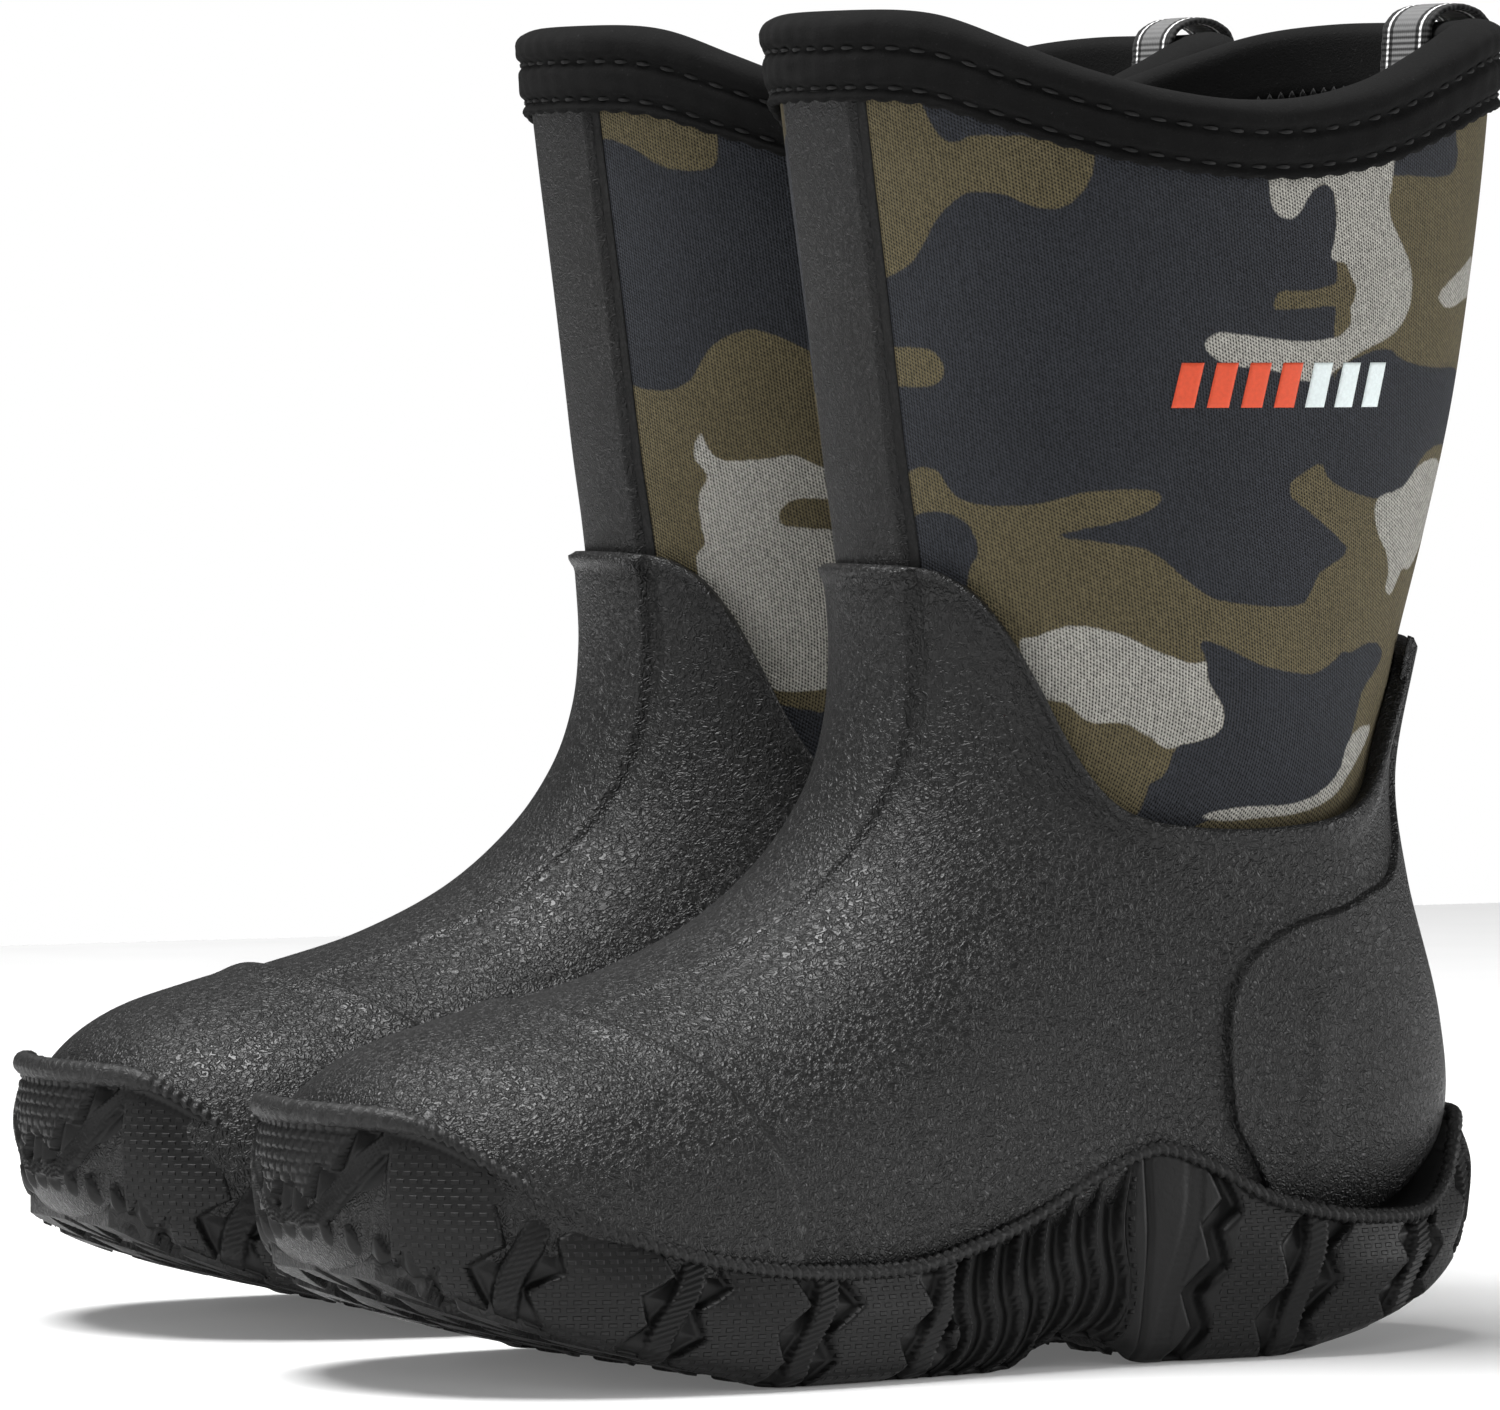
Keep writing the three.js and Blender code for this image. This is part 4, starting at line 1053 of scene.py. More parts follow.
# %% Shin and rear strips
def upright_strip(half, shadow_width, centre, rise, cols=61, rows=110):
    """A band of even width: turn is the arcsine of distance over half width of the loop."""
    y = np.linspace(-1, 1, cols) * (half + shadow_width)
    low, high = shell_u(centre) - 0.35, collar_u(centre, 12.6)
    u = np.linspace(float(low), float(high), rows)[:, None]
    rows_wide = loops_at(u[:, 0])
    width = np.where(y[None, :] > 0, rows_wide[:, 4:5], rows_wide[:, 5:6])
    tilt = np.arcsin(np.clip(y / width, -1, 1))
    turn = tilt if centre == 0 else math.pi - tilt
    u = np.broadcast_to(u, turn.shape)
    away = np.abs(y)[None, :]
    out = 0.25 + rise * (1 - smooth((away - half + 0.9) / 1.1))
    return u, turn, np.broadcast_to(out, turn.shape), y


def strip_pieces(name, half, shadow_width, centre, rise, node):
    """The raised band, and the wider sheet it stands on, coloured dark as painted shadow."""
    u, turn, out, y = upright_strip(half, shadow_width, centre, rise)
    band = slice(*np.searchsorted(y, (-half - 0.35, half + 0.35)))
    top = lay(u[:, band], turn[:, band], out[:, band])
    under = lay(u[:, band], turn[:, band], np.full(out[:, band].shape, 0.05))
    pair(name, skin(np.concatenate([top, under[::-1]]), wrap_rows=True, ends=True),
         strip_rubber, [node])
    # painted shadow: this dark flat sheet stands in for the shade along the band's edges
    flat = lay(u, turn, np.full(out.shape, 0.22))
    base = lay(u, turn, np.full(out.shape, 0.02))
    pair(f"{name}_groove", skin(np.concatenate([flat, base[::-1]]), wrap_rows=True,
                                ends=True), groove_shadow_rubber)


strip_pieces("shin_band", 10.6, 2.0, 0.0, 1.05, "shin_strip")
strip_pieces("rear_band", 5.6, 1.0, math.pi, 0.8, "rear_strip")

# %% [markdown]
# Black stretch fabric is folded over the raw edge of the neoprene and sewn twice. It is a
# closed profile carried round the rim: a puffed outer leg that is pulled in at each row of
# stitches, a round roll at the top, and a thin inner leg. Small wrinkles and a pucker at
# every stitch keep it from looking moulded.

# %% Bound collar
COLLAR_COLS = 600
SEAM_DROPS = (5.8, 12.2)
STITCH_PITCH = 4.5
collar_turns = np.linspace(0, FULL, COLLAR_COLS, endpoint=False)


def rim_measure(drop, out):
    """Turns and the distance round the collar at each of them, at one drop."""
    turn = np.linspace(0, FULL, 721)
    line = lay(collar_u(turn, drop), turn, np.full(turn.shape, out))
    step = np.linalg.norm(np.diff(line, axis=0), axis=1)
    return turn, np.concatenate([[0], np.cumsum(step)])


rim_turn, rim_mm = rim_measure(SEAM_DROPS[0], 1.0)
STITCHES = int(round(rim_mm[-1] / STITCH_PITCH))
rim_share = np.interp(collar_turns, rim_turn, rim_mm) / rim_mm[-1]

leg_drop = np.concatenate([[14.05, 14.4, 14.3], np.linspace(13.8, 3.6, 34)])
pull = np.maximum(hill(leg_drop - SEAM_DROPS[0], 0.95), hill(leg_drop - SEAM_DROPS[1], 0.85))
leg_out = 2.15 - 1.15 * pull
leg_out[:3] = (0.55, 1.0, 1.6)
roll = np.linspace(0, math.pi, 18)[1:-1]
roll_out, roll_drop = -2.6 + 4.75 * np.cos(roll), 3.3 - 3.3 * np.sin(roll) ** 0.8
back_out = np.array([-7.3, -7.25, -7.15, -7.1, -7.0, -6.7, -6.0, -5.65, -5.65, 0.25, 0.3, 0.3])
back_drop = np.array([3.6, 5.5, 7.5, 9.5, 11.4, 12.0, 12.1, 11.7, 3.0, 2.7, 6.0, 13.8])
section_out = np.concatenate([leg_out, roll_out, back_out])[:, None]
section_drop = np.concatenate([leg_drop, roll_drop, back_drop])[:, None]
outside = (section_out > 0.5) * smooth((14.2 - section_drop) / 2)
beat = np.cos(FULL * STITCHES * rim_share)[None, :]
crease = np.sin(41 * collar_turns[None, :] + 0.7 * section_drop) \
    * np.sin(23 * collar_turns[None, :] - 0.5 * section_drop + 1.0)
near_seam = np.concatenate([pull, np.zeros(len(roll_out) + len(back_out))])[:, None]
puff_out = section_out + outside * (0.14 * crease + 0.16 * beat * near_seam)
puff_drop = section_drop + 0.22 * beat * (section_drop > 13.5) * (section_out > 0.5)
puff_u = collar_u(np.broadcast_to(collar_turns, puff_out.shape), puff_drop)
collar_grid = lay(puff_u, collar_turns, puff_out)
pair("bound_collar", skin(collar_grid, wrap_rows=True, wrap_cols=True), collar_fabric,
     ["collar_binding"])
print("stitches round the collar:", STITCHES)

# %% [markdown]
# Each stitch is a short sausage that dips into the fabric at both ends. It is made once as
# a function of its place round the collar, and all places are worked out together.

# %% Rows of stitches
def stitch_row(drop, count, long=3.1, thick=0.36):
    """A path of seven points per stitch, raised by a half sine, with a ring round each."""
    along = np.linspace(-0.5, 0.5, 9)
    mm = (np.arange(count)[:, None] + 0.5) / count * rim_mm[-1] + along * long
    turn = np.interp(mm, rim_mm, rim_turn)
    arch = np.cos(along * math.pi)
    u = collar_u(turn, drop)
    centre = lay(u, turn, np.broadcast_to(0.78 + 0.6 * arch, turn.shape))
    n = sock_normal(u, turn)
    way = unit(np.gradient(centre, axis=1))
    side_way = np.cross(way, n)
    ring = np.linspace(0, FULL, 6, endpoint=False)
    fat = (thick * np.sqrt(np.maximum(arch, 0.0)))[None, :, None, None]
    spread = n[:, :, None] * np.cos(ring)[:, None] + side_way[:, :, None] * np.sin(ring)[:, None]
    return centre[:, :, None] + fat * spread


for name, drop in zip(("upper", "lower"), SEAM_DROPS):
    row = repeat(stitch_row(drop, STITCHES), wrap_cols=True, poles=(True, True))
    pair(f"stitches_{name}", row, thread_finish, [f"collar_stitch_{name}"])

# %% [markdown]
# Inside the collar a zigzag of thread holds the edge of the binding down on the lining.
# It is one closed tube along a zigzag path.

# %% Overlock thread
def thread_tube(centre, n, thick, sides=6):
    """Rings of even radius round a closed path, standing on the surface's own outward way."""
    way = unit(np.roll(centre, -1, 0) - np.roll(centre, 1, 0))
    side_way = unit(np.cross(way, n))
    up = np.cross(side_way, way)
    ring = np.linspace(0, FULL, sides, endpoint=False)
    return centre[:, None] + thick * (up[:, None] * np.cos(ring)[:, None]
                                      + side_way[:, None] * np.sin(ring)[:, None])


ZIGZAGS = int(rim_mm[-1] / 2.3)
zig_mm = np.linspace(0, rim_mm[-1], ZIGZAGS * 8, endpoint=False)
zig_turn = np.interp(zig_mm, rim_mm, rim_turn)
zig = zigzag(np.arange(ZIGZAGS * 8) / 8)
zig_u = collar_u(zig_turn, 11.1 + 2.6 * zig)
zig_line = lay(zig_u, zig_turn, -7.25 + 1.55 * smooth((zig - 0.25) / 0.5))
pair("collar_overlock", skin(thread_tube(zig_line, sock_normal(zig_u, zig_turn), 0.24),
                             wrap_rows=True, wrap_cols=True), thread_finish)

# %% [markdown]
# The pull loop is a flat woven strap, sewn down inside, bent over the back of the rim and
# sewn down outside. Its path lies in one plane, so a rounded section is carried along it.
# The woven ribs that run across are modelled, because the loop stands clear of the boot.

# %% Webbing pull loop
LOOP_FEET = (-8.7, 3.4)
LOOP_WIDE, LOOP_THICK = 14.0, 1.2
LOOP_RISE = 4.4
LOOP_RIB = 1.05


def loop_path():
    """Inner leg up, half an ellipse over the rim, outer leg down, as an even polyline."""
    def leg(out, drops):
        drops = np.asarray(drops, float)
        return lay(collar_u(np.full(drops.shape, math.pi), drops), np.full(drops.shape, math.pi),
                   np.full(drops.shape, out))
    inner = leg(LOOP_FEET[0], np.linspace(14.5, 4, 12))
    outer_leg = leg(LOOP_FEET[1], np.linspace(4, 13.5, 12))
    rims = np.concatenate([leg(out, [2.0]) for out in LOOP_FEET])
    middle, reach = rims.mean(0), np.linalg.norm(rims[1] - rims[0]) / 2
    a = np.linspace(math.pi, 0, 41)
    arch = np.stack([middle[0] + reach * np.cos(a), np.zeros_like(a),
                     middle[2] + LOOP_RISE * np.sin(a)], -1)
    rough_path = np.concatenate([inner, arch, outer_leg])
    rough_path[:, 1] = 0
    mm = np.concatenate([[0], np.cumsum(np.linalg.norm(np.diff(rough_path, axis=0), axis=1))])
    even = np.linspace(0, mm[-1], int(mm[-1] / LOOP_RIB * 6))
    path = np.stack([np.interp(even, mm, rough_path[:, k]) for k in range(3)], -1)
    for _ in range(6):
        path[1:-1] = (path[:-2] + 2 * path[1:-1] + path[2:]) / 4
    return path, even


loop_line, loop_mm = loop_path()
way = unit(np.gradient(loop_line, axis=0))
up = np.stack([-way[:, 2], np.zeros(len(way)), way[:, 0]], -1)
LOOP_SIDES = 44
ring = np.linspace(0, FULL, LOOP_SIDES, endpoint=False)
flat_y = np.sign(np.cos(ring)) * np.abs(np.cos(ring)) ** 0.7 * LOOP_WIDE / 2
flat_h = np.sign(np.sin(ring)) * np.abs(np.sin(ring)) ** 0.35 * LOOP_THICK / 2
rib = 1 + 0.05 * np.cos(FULL * loop_mm / LOOP_RIB)[:, None]
edge_wave = 0.10 * np.sin(FULL * loop_mm / 3.1)[:, None] * (np.abs(flat_y) > 6.2)
section = loop_line[:, None] + up[:, None] * (flat_h * rib)[..., None]
section = section + np.array([0, 1, 0]) * (flat_y + edge_wave)[..., None]
ends = [np.broadcast_to(loop_line[k], (1, LOOP_SIDES, 3)) for k in (0, -1)]
loop_grid = np.concatenate([ends[0], section, ends[1]])
loop_rows = np.concatenate([loop_mm[:1], loop_mm, loop_mm[-1:]])[:, None]
loop_measure = np.stack(np.broadcast_arrays(np.append(flat_y, flat_y[0]), loop_rows), -1)
pair("webbing_loop", skin(loop_grid, loop_measure, wrap_cols=True, poles=(True, True)),
     loop_webbing, ["pull_loop"])

# %% [markdown]
# The footbed is a loose foam insole with a cloth top. Its edge turns up to cup the foot,
# more at the heel than at the toe.

# %% Footbed
BED_TOE, BED_HEEL, BED_COLS = 2.35, 10.55, 61
bed_turn = math.pi + np.radians(np.linspace(-43, 43, BED_COLS))
bed_u = np.linspace(BED_TOE, BED_HEEL, 120)[:, None]
bed_side = np.abs(np.linspace(-1, 1, BED_COLS))[None, :]
bed_end = np.minimum(bed_u - BED_TOE, BED_HEEL - bed_u)
round_off = smooth(np.minimum((1 - bed_side) / 0.10, bed_end / 0.22))
cup = 0.9 * smooth((bed_side - 0.55) / 0.45) * smooth((bed_u - 7.5) / 2.5)
bed_top = lay(bed_u, bed_turn, -6.4 - (2.6 + cup) * round_off)
bed_low = lay(bed_u, bed_turn, -5.7 - 0.3 * (1 - round_off))
pair("shaped_footbed", skin(np.concatenate([bed_top, bed_low[::-1]]), wrap_rows=True, ends=True),
     footbed_cloth, ["footbed"], on_footbed=True)

# %% [markdown]
# A row of plain slanted bars is printed on the outer side. Each is a thin raised patch in
# cloth measure, so that it follows the shaft.

# %% Printed bars
BARS, BAR_PITCH, BAR_WIDE, BAR_LEAN = 7, 6.1, 3.9, 2.6
BAR_FROM, BAR_LOW, BAR_HIGH = 58.5, 153.6, 160.8


def bar(k):
    """A leaning parallelogram between two heights, its edge rounded down to the cloth."""
    b, a = np.meshgrid(np.linspace(0, 1, 17), np.linspace(0, 1, 11), indexing="ij")
    z = BAR_LOW + (BAR_HIGH - BAR_LOW) * b
    u, turn = cloth_place(BAR_FROM + k * BAR_PITCH + BAR_WIDE * a + BAR_LEAN * b, z)
    edge = np.minimum(np.minimum(a, 1 - a) * BAR_WIDE, np.minimum(b, 1 - b) * 7)
    top = lay(u, turn, 0.06 + 0.14 * smooth(edge / 0.4))
    return np.concatenate([top, lay(u, turn, np.full(u.shape, 0.03))[::-1]])


def print_finish(name, colour):
    """Smooth ink of one colour with small flecks."""
    f = Finish(name, Specular_IOR_Level=0.35)
    fleck = f.noise(f.place(), 1800, 2)
    return f.use(Base_Color=f.tint(colour[:3], 0.86 + fleck * 0.28),
                 Roughness=0.5 + (fleck - 0.5) * 0.2, Normal=f.bump(fleck, 0.05 * MM))


for name, ks, colour in (("warm", range(0, 4), srgb(222, 84, 52)),
                         ("pale", range(4, BARS), srgb(226, 236, 236))):
    bars = repeat(np.array([bar(k) for k in ks]), wrap_rows=True, ends=True)
    pair(f"printed_bars_{name}", bars, print_finish(f"print_{name}", colour))

# %% [markdown]
# The outsole's wall runs right round the foot. Its outline is a closed smooth line, and p
# is the distance along it from the toe tip, down the outer side to the heel and back up
# the inner side. Any place on the wall is then p and v, the share of the height there.

# %% Outline of the sole
OUTLINE = np.array([
    (-109, -2, 4), (-108, -9, 11), (-105, -18, 20), (-100, -26, 27.5), (-93, -33, 33.5),
    (-83, -39, 38.5), (-70, -43, 42), (-55, -45, 43.5), (-38, -45, 43), (-20, -43, 40),
    (-2, -40.5, 37.5), (16, -38.5, 36), (34, -38, 36), (52, -38.5, 36.5), (68, -38.5, 37),
    (82, -35.5, 34.5), (93, -30, 29.5), (101, -22.5, 22), (106.5, -14, 14), (109, -6, 6)])
corners = np.concatenate([OUTLINE[:, :2], OUTLINE[::-1, ::2]])


fine_line = closed_line(corners, 4000)
fine_line = np.roll(fine_line, -int(np.argmin(fine_line[:, 0])), 0)
fine_mm = np.concatenate([[0], np.cumsum(np.linalg.norm(
    np.roll(fine_line, -1, 0) - fine_line, axis=1))])
ROUND = float(fine_mm[-1])
fine_closed = np.vstack([fine_line, fine_line[:1]])


def outline(p):
    """Place on the outline at distance p."""
    p = np.mod(p, ROUND)
    return np.stack([np.interp(p, fine_mm, fine_closed[:, k]) for k in (0, 1)], -1)


def inward(p):
    """Level direction toward the middle of the sole, from places 3 mm either way."""
    t = unit(outline(p + 3) - outline(p - 3))
    return np.stack([-t[..., 1], t[..., 0]], -1)


wall_in = line_reader(np.array([(0, 5), (0.1, 1.8), (0.35, 0.5), (0.6, 0.0), (0.87, 1.2),
                                (0.97, 1.8), (1, 3.0)]))
print("round the sole:", round(ROUND, 1), "mm")

# %% [markdown]
# The wall's relief is a depth for every place: leaning strips with small rungs, each in a
# star-edged recess, flat panels between them, and a fan of wavy serrated ribs under the
# arch. The toe has a ribbon of rungs that climbs to the edge, rows of pointed teeth on
# both sides of it, and small bricks above. Sharp steps are eased over half a millimetre.

# %% Relief of the sole wall
STRIPS = (46.5, 72.0, 96.7, 121.5, 192.6, 216.5, 238.0)
RUNG = 1.05
ARCH_FROM, ARCH_TO, ARCH_PITCH = 125.3, 160.4, 5.25
TOE_END = 36.0


def share(x):
    """0 to 1 in a straight line, held outside."""
    return np.clip(x, 0, 1)


def blend(a, b, t):
    """From a to b as t goes from 0 to 1."""
    return a * (1 - t) + b * t


def arch_depth(side, v, z):
    """Saw teeth: from each crest the floor falls away slowly and then climbs steeply."""
    bend = 1.5 * np.sin(FULL * (1.05 * v + 0.10)) - 6.0 * share((0.42 - v) / 0.42) ** 1.5
    f = (side - bend - 127.6) / ARCH_PITCH
    f = f - np.floor(f)
    crest = hill(np.minimum(f, 1 - f), 0.085)
    floor_depth = np.interp(f, [0, 0.07, 0.16, 0.78, 0.9, 1], [0, 0.25, 1.1, 3.0, 2.7, 0])
    return floor_depth + 0.55 * crest * (0.5 + 0.5 * np.cos(FULL * z / 1.0)), bend


def sole_relief(p, v, z, tall):
    """Depth of the wall in mm, and the share of flat panel, at each place."""
    side = np.minimum(p, ROUND - p)
    q = side - 6.5 * (v - 0.5) + 0.8 * np.sin(FULL * v)
    depth = np.full(side.shape, 0.25)
    panel = share((side - 26) / 0.6)
    for c in STRIPS:
        d = q - c
        star = 5.4 + 2.0 * (2 * zigzag(2.1 * v + 0.37 * c + 0.25 * np.sign(d)) - 1)
        hole = share((star - np.abs(d)) / 1.3)
        facet = 1.3 * zigzag(2.1 * v + 0.37 * c + 0.25 * np.sign(d))
        depth = np.maximum(depth, hole * (3.1 - facet))
        strip = share((2.35 - np.abs(d)) / 0.45)
        depth = blend(depth, 0.55 + 0.26 * np.cos(FULL * (z - 0.35 * d) / RUNG), strip)
        panel = panel * (1 - hole)
    wave_depth, bend = arch_depth(side, v, z)
    in_arch = share((side - bend - ARCH_FROM) / 0.5) * share((ARCH_TO - side + bend * 0.6) / 0.5)
    depth = blend(depth, wave_depth, in_arch)
    block = share((side - bend * 0.6 - ARCH_TO) / 0.5) * share((178 - q) / 0.5)
    plain = 0.2 + 0.9 * hill(side - 162.6 - (v - 0.5), 0.35)
    rungs = 0.3 + 0.26 * np.cos(FULL * z / RUNG)
    plain = blend(plain, rungs, share((1.9 - np.abs(q - 169)) / 0.4))
    snake = np.abs(q - 174.6 - 1.7 * (2 * zigzag(3 * v) - 1))
    plain = np.maximum(plain, 2.7 * share((2.3 - snake) / 1.2))
    depth = blend(depth, plain, block)
    panel = panel * (1 - in_arch) * (1 - block)

    ribbon = 0.22 + 0.72 * smooth((side - 4) / 25)
    over = (v - ribbon) * tall
    lean = 1 + 0.7 * hill(side - 16, 9)
    tooth_a = side / 7.4 + 0.25
    tooth_b = side / 6.0
    high_a = 1.2 + 4.2 * zigzag(tooth_a)
    up_a = over - 1.5 * lean
    pyramid_a = 0.25 + 2.2 * (1 - zigzag(tooth_a)) + 0.25 * up_a
    brick_row = np.floor(z / 1.7)
    joint = np.minimum(np.abs(z / 1.7 - brick_row - 0.5) * -2 + 1,
                       np.abs((side / 2.5 + 0.5 * (brick_row % 2)) % 1 - 0.5) * -2 + 1)
    bricks = 0.15 + 0.5 * (1 - share(joint * 3.2))
    plain_top = blend(bricks, 0.35, share((side - 17) / 1.5))
    above = np.where(up_a < high_a, np.minimum(pyramid_a, 2.4), plain_top)
    from_low = v * tall
    high_b = 1.6 + 4.6 * zigzag(tooth_b)
    pyramid_b = 0.3 + 2.0 * (1 - zigzag(tooth_b))
    under_plain = blend(2.1, 0.3, share((side - 23) / 1.2))
    below = np.where(from_low < high_b, np.minimum(pyramid_b, 2.3), under_plain)
    toe = blend(below, above, share(over / 0.4 + 0.5))
    toe = blend(toe, 0.45 + 0.26 * np.cos(FULL * (side - 0.8 * over) / RUNG),
                share((1.5 * lean - np.abs(over)) / 0.45))
    toe = blend(toe, -0.2, share((v - 0.9) / 0.03))
    in_toe = share((TOE_END - q) / 0.8)
    dots = share((side - 22) / 2) * (over < -1.8 * lean) * (from_low > high_b)
    return blend(depth, toe, in_toe), blend(panel, dots, in_toe) * share((0.93 - v) / 0.02)

# %% [markdown]
# The wall is a ring: up the outside with all the relief, in over the top, down a plain
# inner face and back under. Its lower corner is left open in the middle for the tread.

# %% Sole wall
WALL_ROWS = 62
WALL_INNER = (6.5, 12.0, 13.0, 9.0, 5.5)    # how far in the plain inner face runs, top to bottom


def heel_lean(x):
    """How far the wall's upper edge leans in behind the heel."""
    return 1.6 * smooth((x - 78) / 22)


def sole_wall():
    """The wall's closed skin, with finer columns at the toe and on the outer side."""
    toe_end = ROUND - 45
    p = np.concatenate([np.arange(0, ROUND / 2, 0.4), np.arange(ROUND / 2, toe_end, 0.6),
                        np.arange(toe_end, ROUND - 0.2, 0.4)])
    v = np.linspace(0, 1, WALL_ROWS)[:, None]
    base, way_in = outline(p), inward(p)
    low, high = sole_low(base[:, 0]), sole_high(base[:, 0])
    z = low + (high - low) * v
    pp = np.broadcast_to(p, z.shape)
    vv = np.broadcast_to(v, z.shape)
    depth, panel = sole_relief(pp, vv, z, high - low)
    depth = depth * smooth(vv / 0.05 + 0.35)
    rows_in = [wall_in(vv) + depth] + [np.full((1, len(p)), a) for a in WALL_INNER]
    rows_z = [z] + [row[None] for row in (high, high, (low + high) / 2, low + 3, low + 0.7)]
    off, height = np.concatenate(rows_in), np.concatenate(rows_z)
    leaning = slice(0, WALL_ROWS + 1)
    rise = np.minimum((height[leaning] - low) / (high - low), 1)
    off[leaning] += heel_lean(base[:, 0]) * rise
    xy = base[None] + way_in[None] * off[..., None]
    grid = np.concatenate([xy, height[..., None]], -1)
    every_p = np.append(p, ROUND)
    wide = np.concatenate([height, height[:, :1]], 1)
    uv = np.stack([np.broadcast_to(every_p, wide.shape), wide], -1)
    uv = np.concatenate([uv, uv[:1]], 0)
    field = np.concatenate([panel, np.zeros((5, len(p)))])
    return skin(grid, uv, wrap_rows=True, wrap_cols=True, fields={"panel": field})


pair("sole_wall", sole_wall(), outsole_rubber, ["outsole"])

# %% [markdown]
# Under the foot the tread is a slab with chevron lugs at the ball and the heel and low
# bars across the arch. The slab follows the same low line as the wall, so both meet.

# %% Tread
TREAD_DEEP = 3.2
TREAD_EDGE = 6.2                  # the slab stops this far inside the outline


def lug_share(x, y):
    """1 on a lug and 0 in a channel: zigzag bands along the foot, cut by a centre line."""
    band = (x + 5.0 * (2 * zigzag(y / 19) - 1)) / 15.5
    chevron = share((zigzag(band) - 0.34) / 0.09)
    centre = share((np.abs(y - 1) - 1.1) / 0.7)
    cross = share((np.abs(np.abs(y) - 21) - 0.9) / 0.7)
    arch = share((zigzag(x / 6.2) - 0.45) / 0.2) * 0.5
    in_arch = smooth((x + 4) / 5) * smooth((32 - x) / 5)
    return blend(chevron * np.maximum(centre, 0.25) * np.maximum(cross, 0.35), arch, in_arch)


def tread():
    """The slab's lugged under side and its plain upper side, as one closed skin."""
    x = np.linspace(-102, 102.5, 300)[:, None]
    outer_y, inner_y = (line_reader(OUTLINE[:, [0, k]]) for k in (1, 2))
    edge_a, edge_b = outer_y(x) + TREAD_EDGE, inner_y(x) - TREAD_EDGE
    y = (edge_a + edge_b) / 2 + (edge_b - edge_a) / 2 * np.linspace(-1, 1, 130)[None]
    low = sole_low(x)
    full_x = np.broadcast_to(x, y.shape)
    z = low + 0.05 + TREAD_DEEP * (1 - lug_share(full_x, y))
    under = np.stack([full_x, y, z], -1)
    over = np.stack([full_x, y, np.broadcast_to(low + 6.5, y.shape)], -1)
    return skin(np.concatenate([under, over[::-1]]), wrap_rows=True, ends=True)


pair("sole_tread", tread(), tread_rubber)

# %% [markdown]
# Where the sole meets the upper, a welt moulded like a twisted cord runs round the edge.
# At the toe it turns into a plain, thicker bumper.

# %% Welt
WELT_PITCH = 1.7


def welt():
    """A tube along the sole's upper edge whose radius waves once per rib, leaning as it turns."""
    count = int(ROUND / 0.3)
    p = np.arange(count) * ROUND / count
    side = np.minimum(p, ROUND - p)
    ribs = round(ROUND / WELT_PITCH)
    base, way_in = outline(p), inward(p)
    height = sole_high(base[:, 0])
    bumper = 1 - smooth((side - 24) / 10)
    spot = np.concatenate([base + way_in * (2.3 + heel_lean(base[:, :1])), (height - 0.55)[:, None]], 1)
    ring = np.linspace(0, FULL, 14, endpoint=False)
    twist = np.cos(FULL * ribs * p / ROUND + 0.9 * np.sin(ring)[:, None] * 2)
    grain = np.sin(p * 2.1) * np.sin(p * 0.73 + ring[:, None] * 2)
    thick = 1.2 + 0.75 * bumper + 0.26 * (1 - bumper) * twist + 0.14 * bumper * grain
    level = np.concatenate([way_in, np.zeros((count, 1))], 1)
    radial = np.cos(ring)[:, None, None] * level \
        + np.sin(ring)[:, None, None] * np.array([0, 0, 1.0])
    return skin(spot[None] + radial * thick[..., None], wrap_rows=True, wrap_cols=True)


pair("rope_welt", welt(), tread_rubber)

# %% [markdown]
# The boots stand on a plain pale floor in soft studio light. A wide lamp overhead lays
# the long highlights along the instep and toe, one on each side lights the shin and the
# heel, and a weak one in front opens the shadows. Satin rubber shows its shape best in
# such highlights, so the sky itself gives little light.

# %% Floor and light
FLOOR_REACH, FLOOR_DROP = 1.1, 0.0002


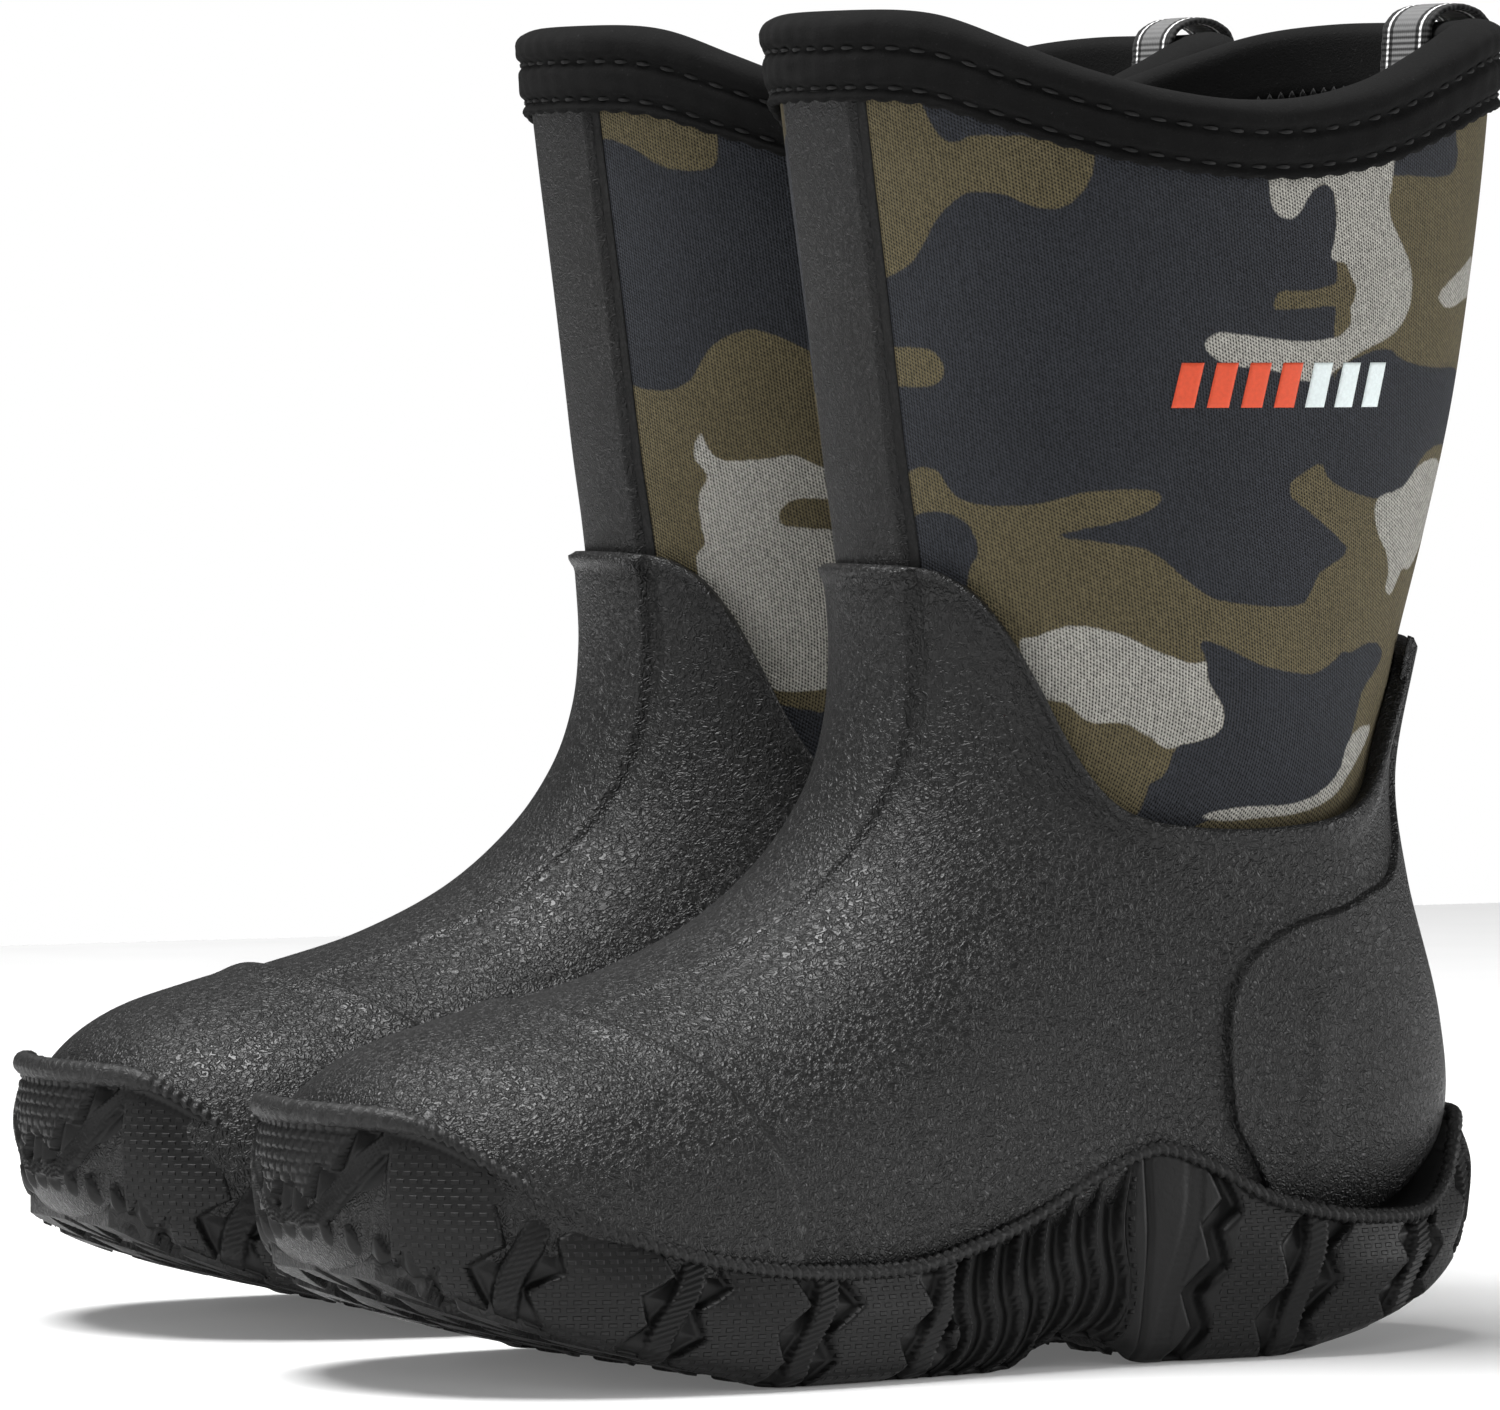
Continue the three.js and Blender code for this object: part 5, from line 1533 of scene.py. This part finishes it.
def floor_finish():
    """Pale and matt, with a little light of its own so that it melts into the backdrop."""
    f = Finish("pale_floor", Specular_IOR_Level=0.1, Emission_Color=(1, 1, 1, 1),
               Emission_Strength=0.12)
    grain = f.noise(f.place(), 30, 3)
    return f.use(Base_Color=f.mix(grain, grey(222), grey(228)),
                 Roughness=0.8 + (grain - 0.5) * 0.1)


floor_mesh = bpy.data.meshes.new("floor")
floor_corners = [(x * FLOOR_REACH, y * FLOOR_REACH, -FLOOR_DROP)
                 for x, y in ((-1, -1), (1, -1), (1, 1), (-1, 1))]
floor_mesh.from_pydata(floor_corners, [], [(0, 1, 2, 3)])
floor_mesh.materials.append(floor_finish())
floor = bpy.data.objects.new("floor", floor_mesh)
bpy.context.scene.collection.objects.link(floor)

SKY_SEEN, SKY_LIGHT = 1.0, 0.115
world = bpy.data.worlds.new("studio")
world.use_nodes = True
sky = world.node_tree.nodes["Background"]
sky.inputs["Color"].default_value = (1, 1, 1, 1)
seen = world.node_tree.nodes.new("ShaderNodeLightPath")
level = world.node_tree.nodes.new("ShaderNodeMapRange")
level.inputs["To Min"].default_value = SKY_LIGHT
level.inputs["To Max"].default_value = SKY_SEEN
world.node_tree.links.new(seen.outputs["Is Camera Ray"], level.inputs["Value"])
world.node_tree.links.new(level.outputs["Result"], sky.inputs["Strength"])
bpy.context.scene.world = world
bpy.context.scene.view_settings.view_transform = "Standard"


cad_middle = (np.array(cad_box[0]) + np.array(cad_box[1])) / 2


def lamp(name, at, size, watts):
    """A square soft light that looks at the middle of the pair."""
    data = bpy.data.lights.new(name, "AREA")
    data.size, data.energy = size, watts
    light = bpy.data.objects.new(name, data)
    target = cad_middle - np.array(at)
    x, y, z = target
    light.location = at
    light.rotation_euler = (math.acos(-z / np.linalg.norm(target)), 0, math.atan2(-x, y))
    bpy.context.scene.collection.objects.link(light)


lamp("overhead", (-0.35, 0.15, 1.7), 1.0, 58)
lamp("toe_side", (-1.9, 0.5, 0.7), 0.8, 8)
lamp("heel_side", (1.9, -0.9, 0.5), 0.7, 18)
lamp("front", (-0.9, -1.9, 0.9), 0.9, 7)
print("lamps around", cad_middle.round(3))
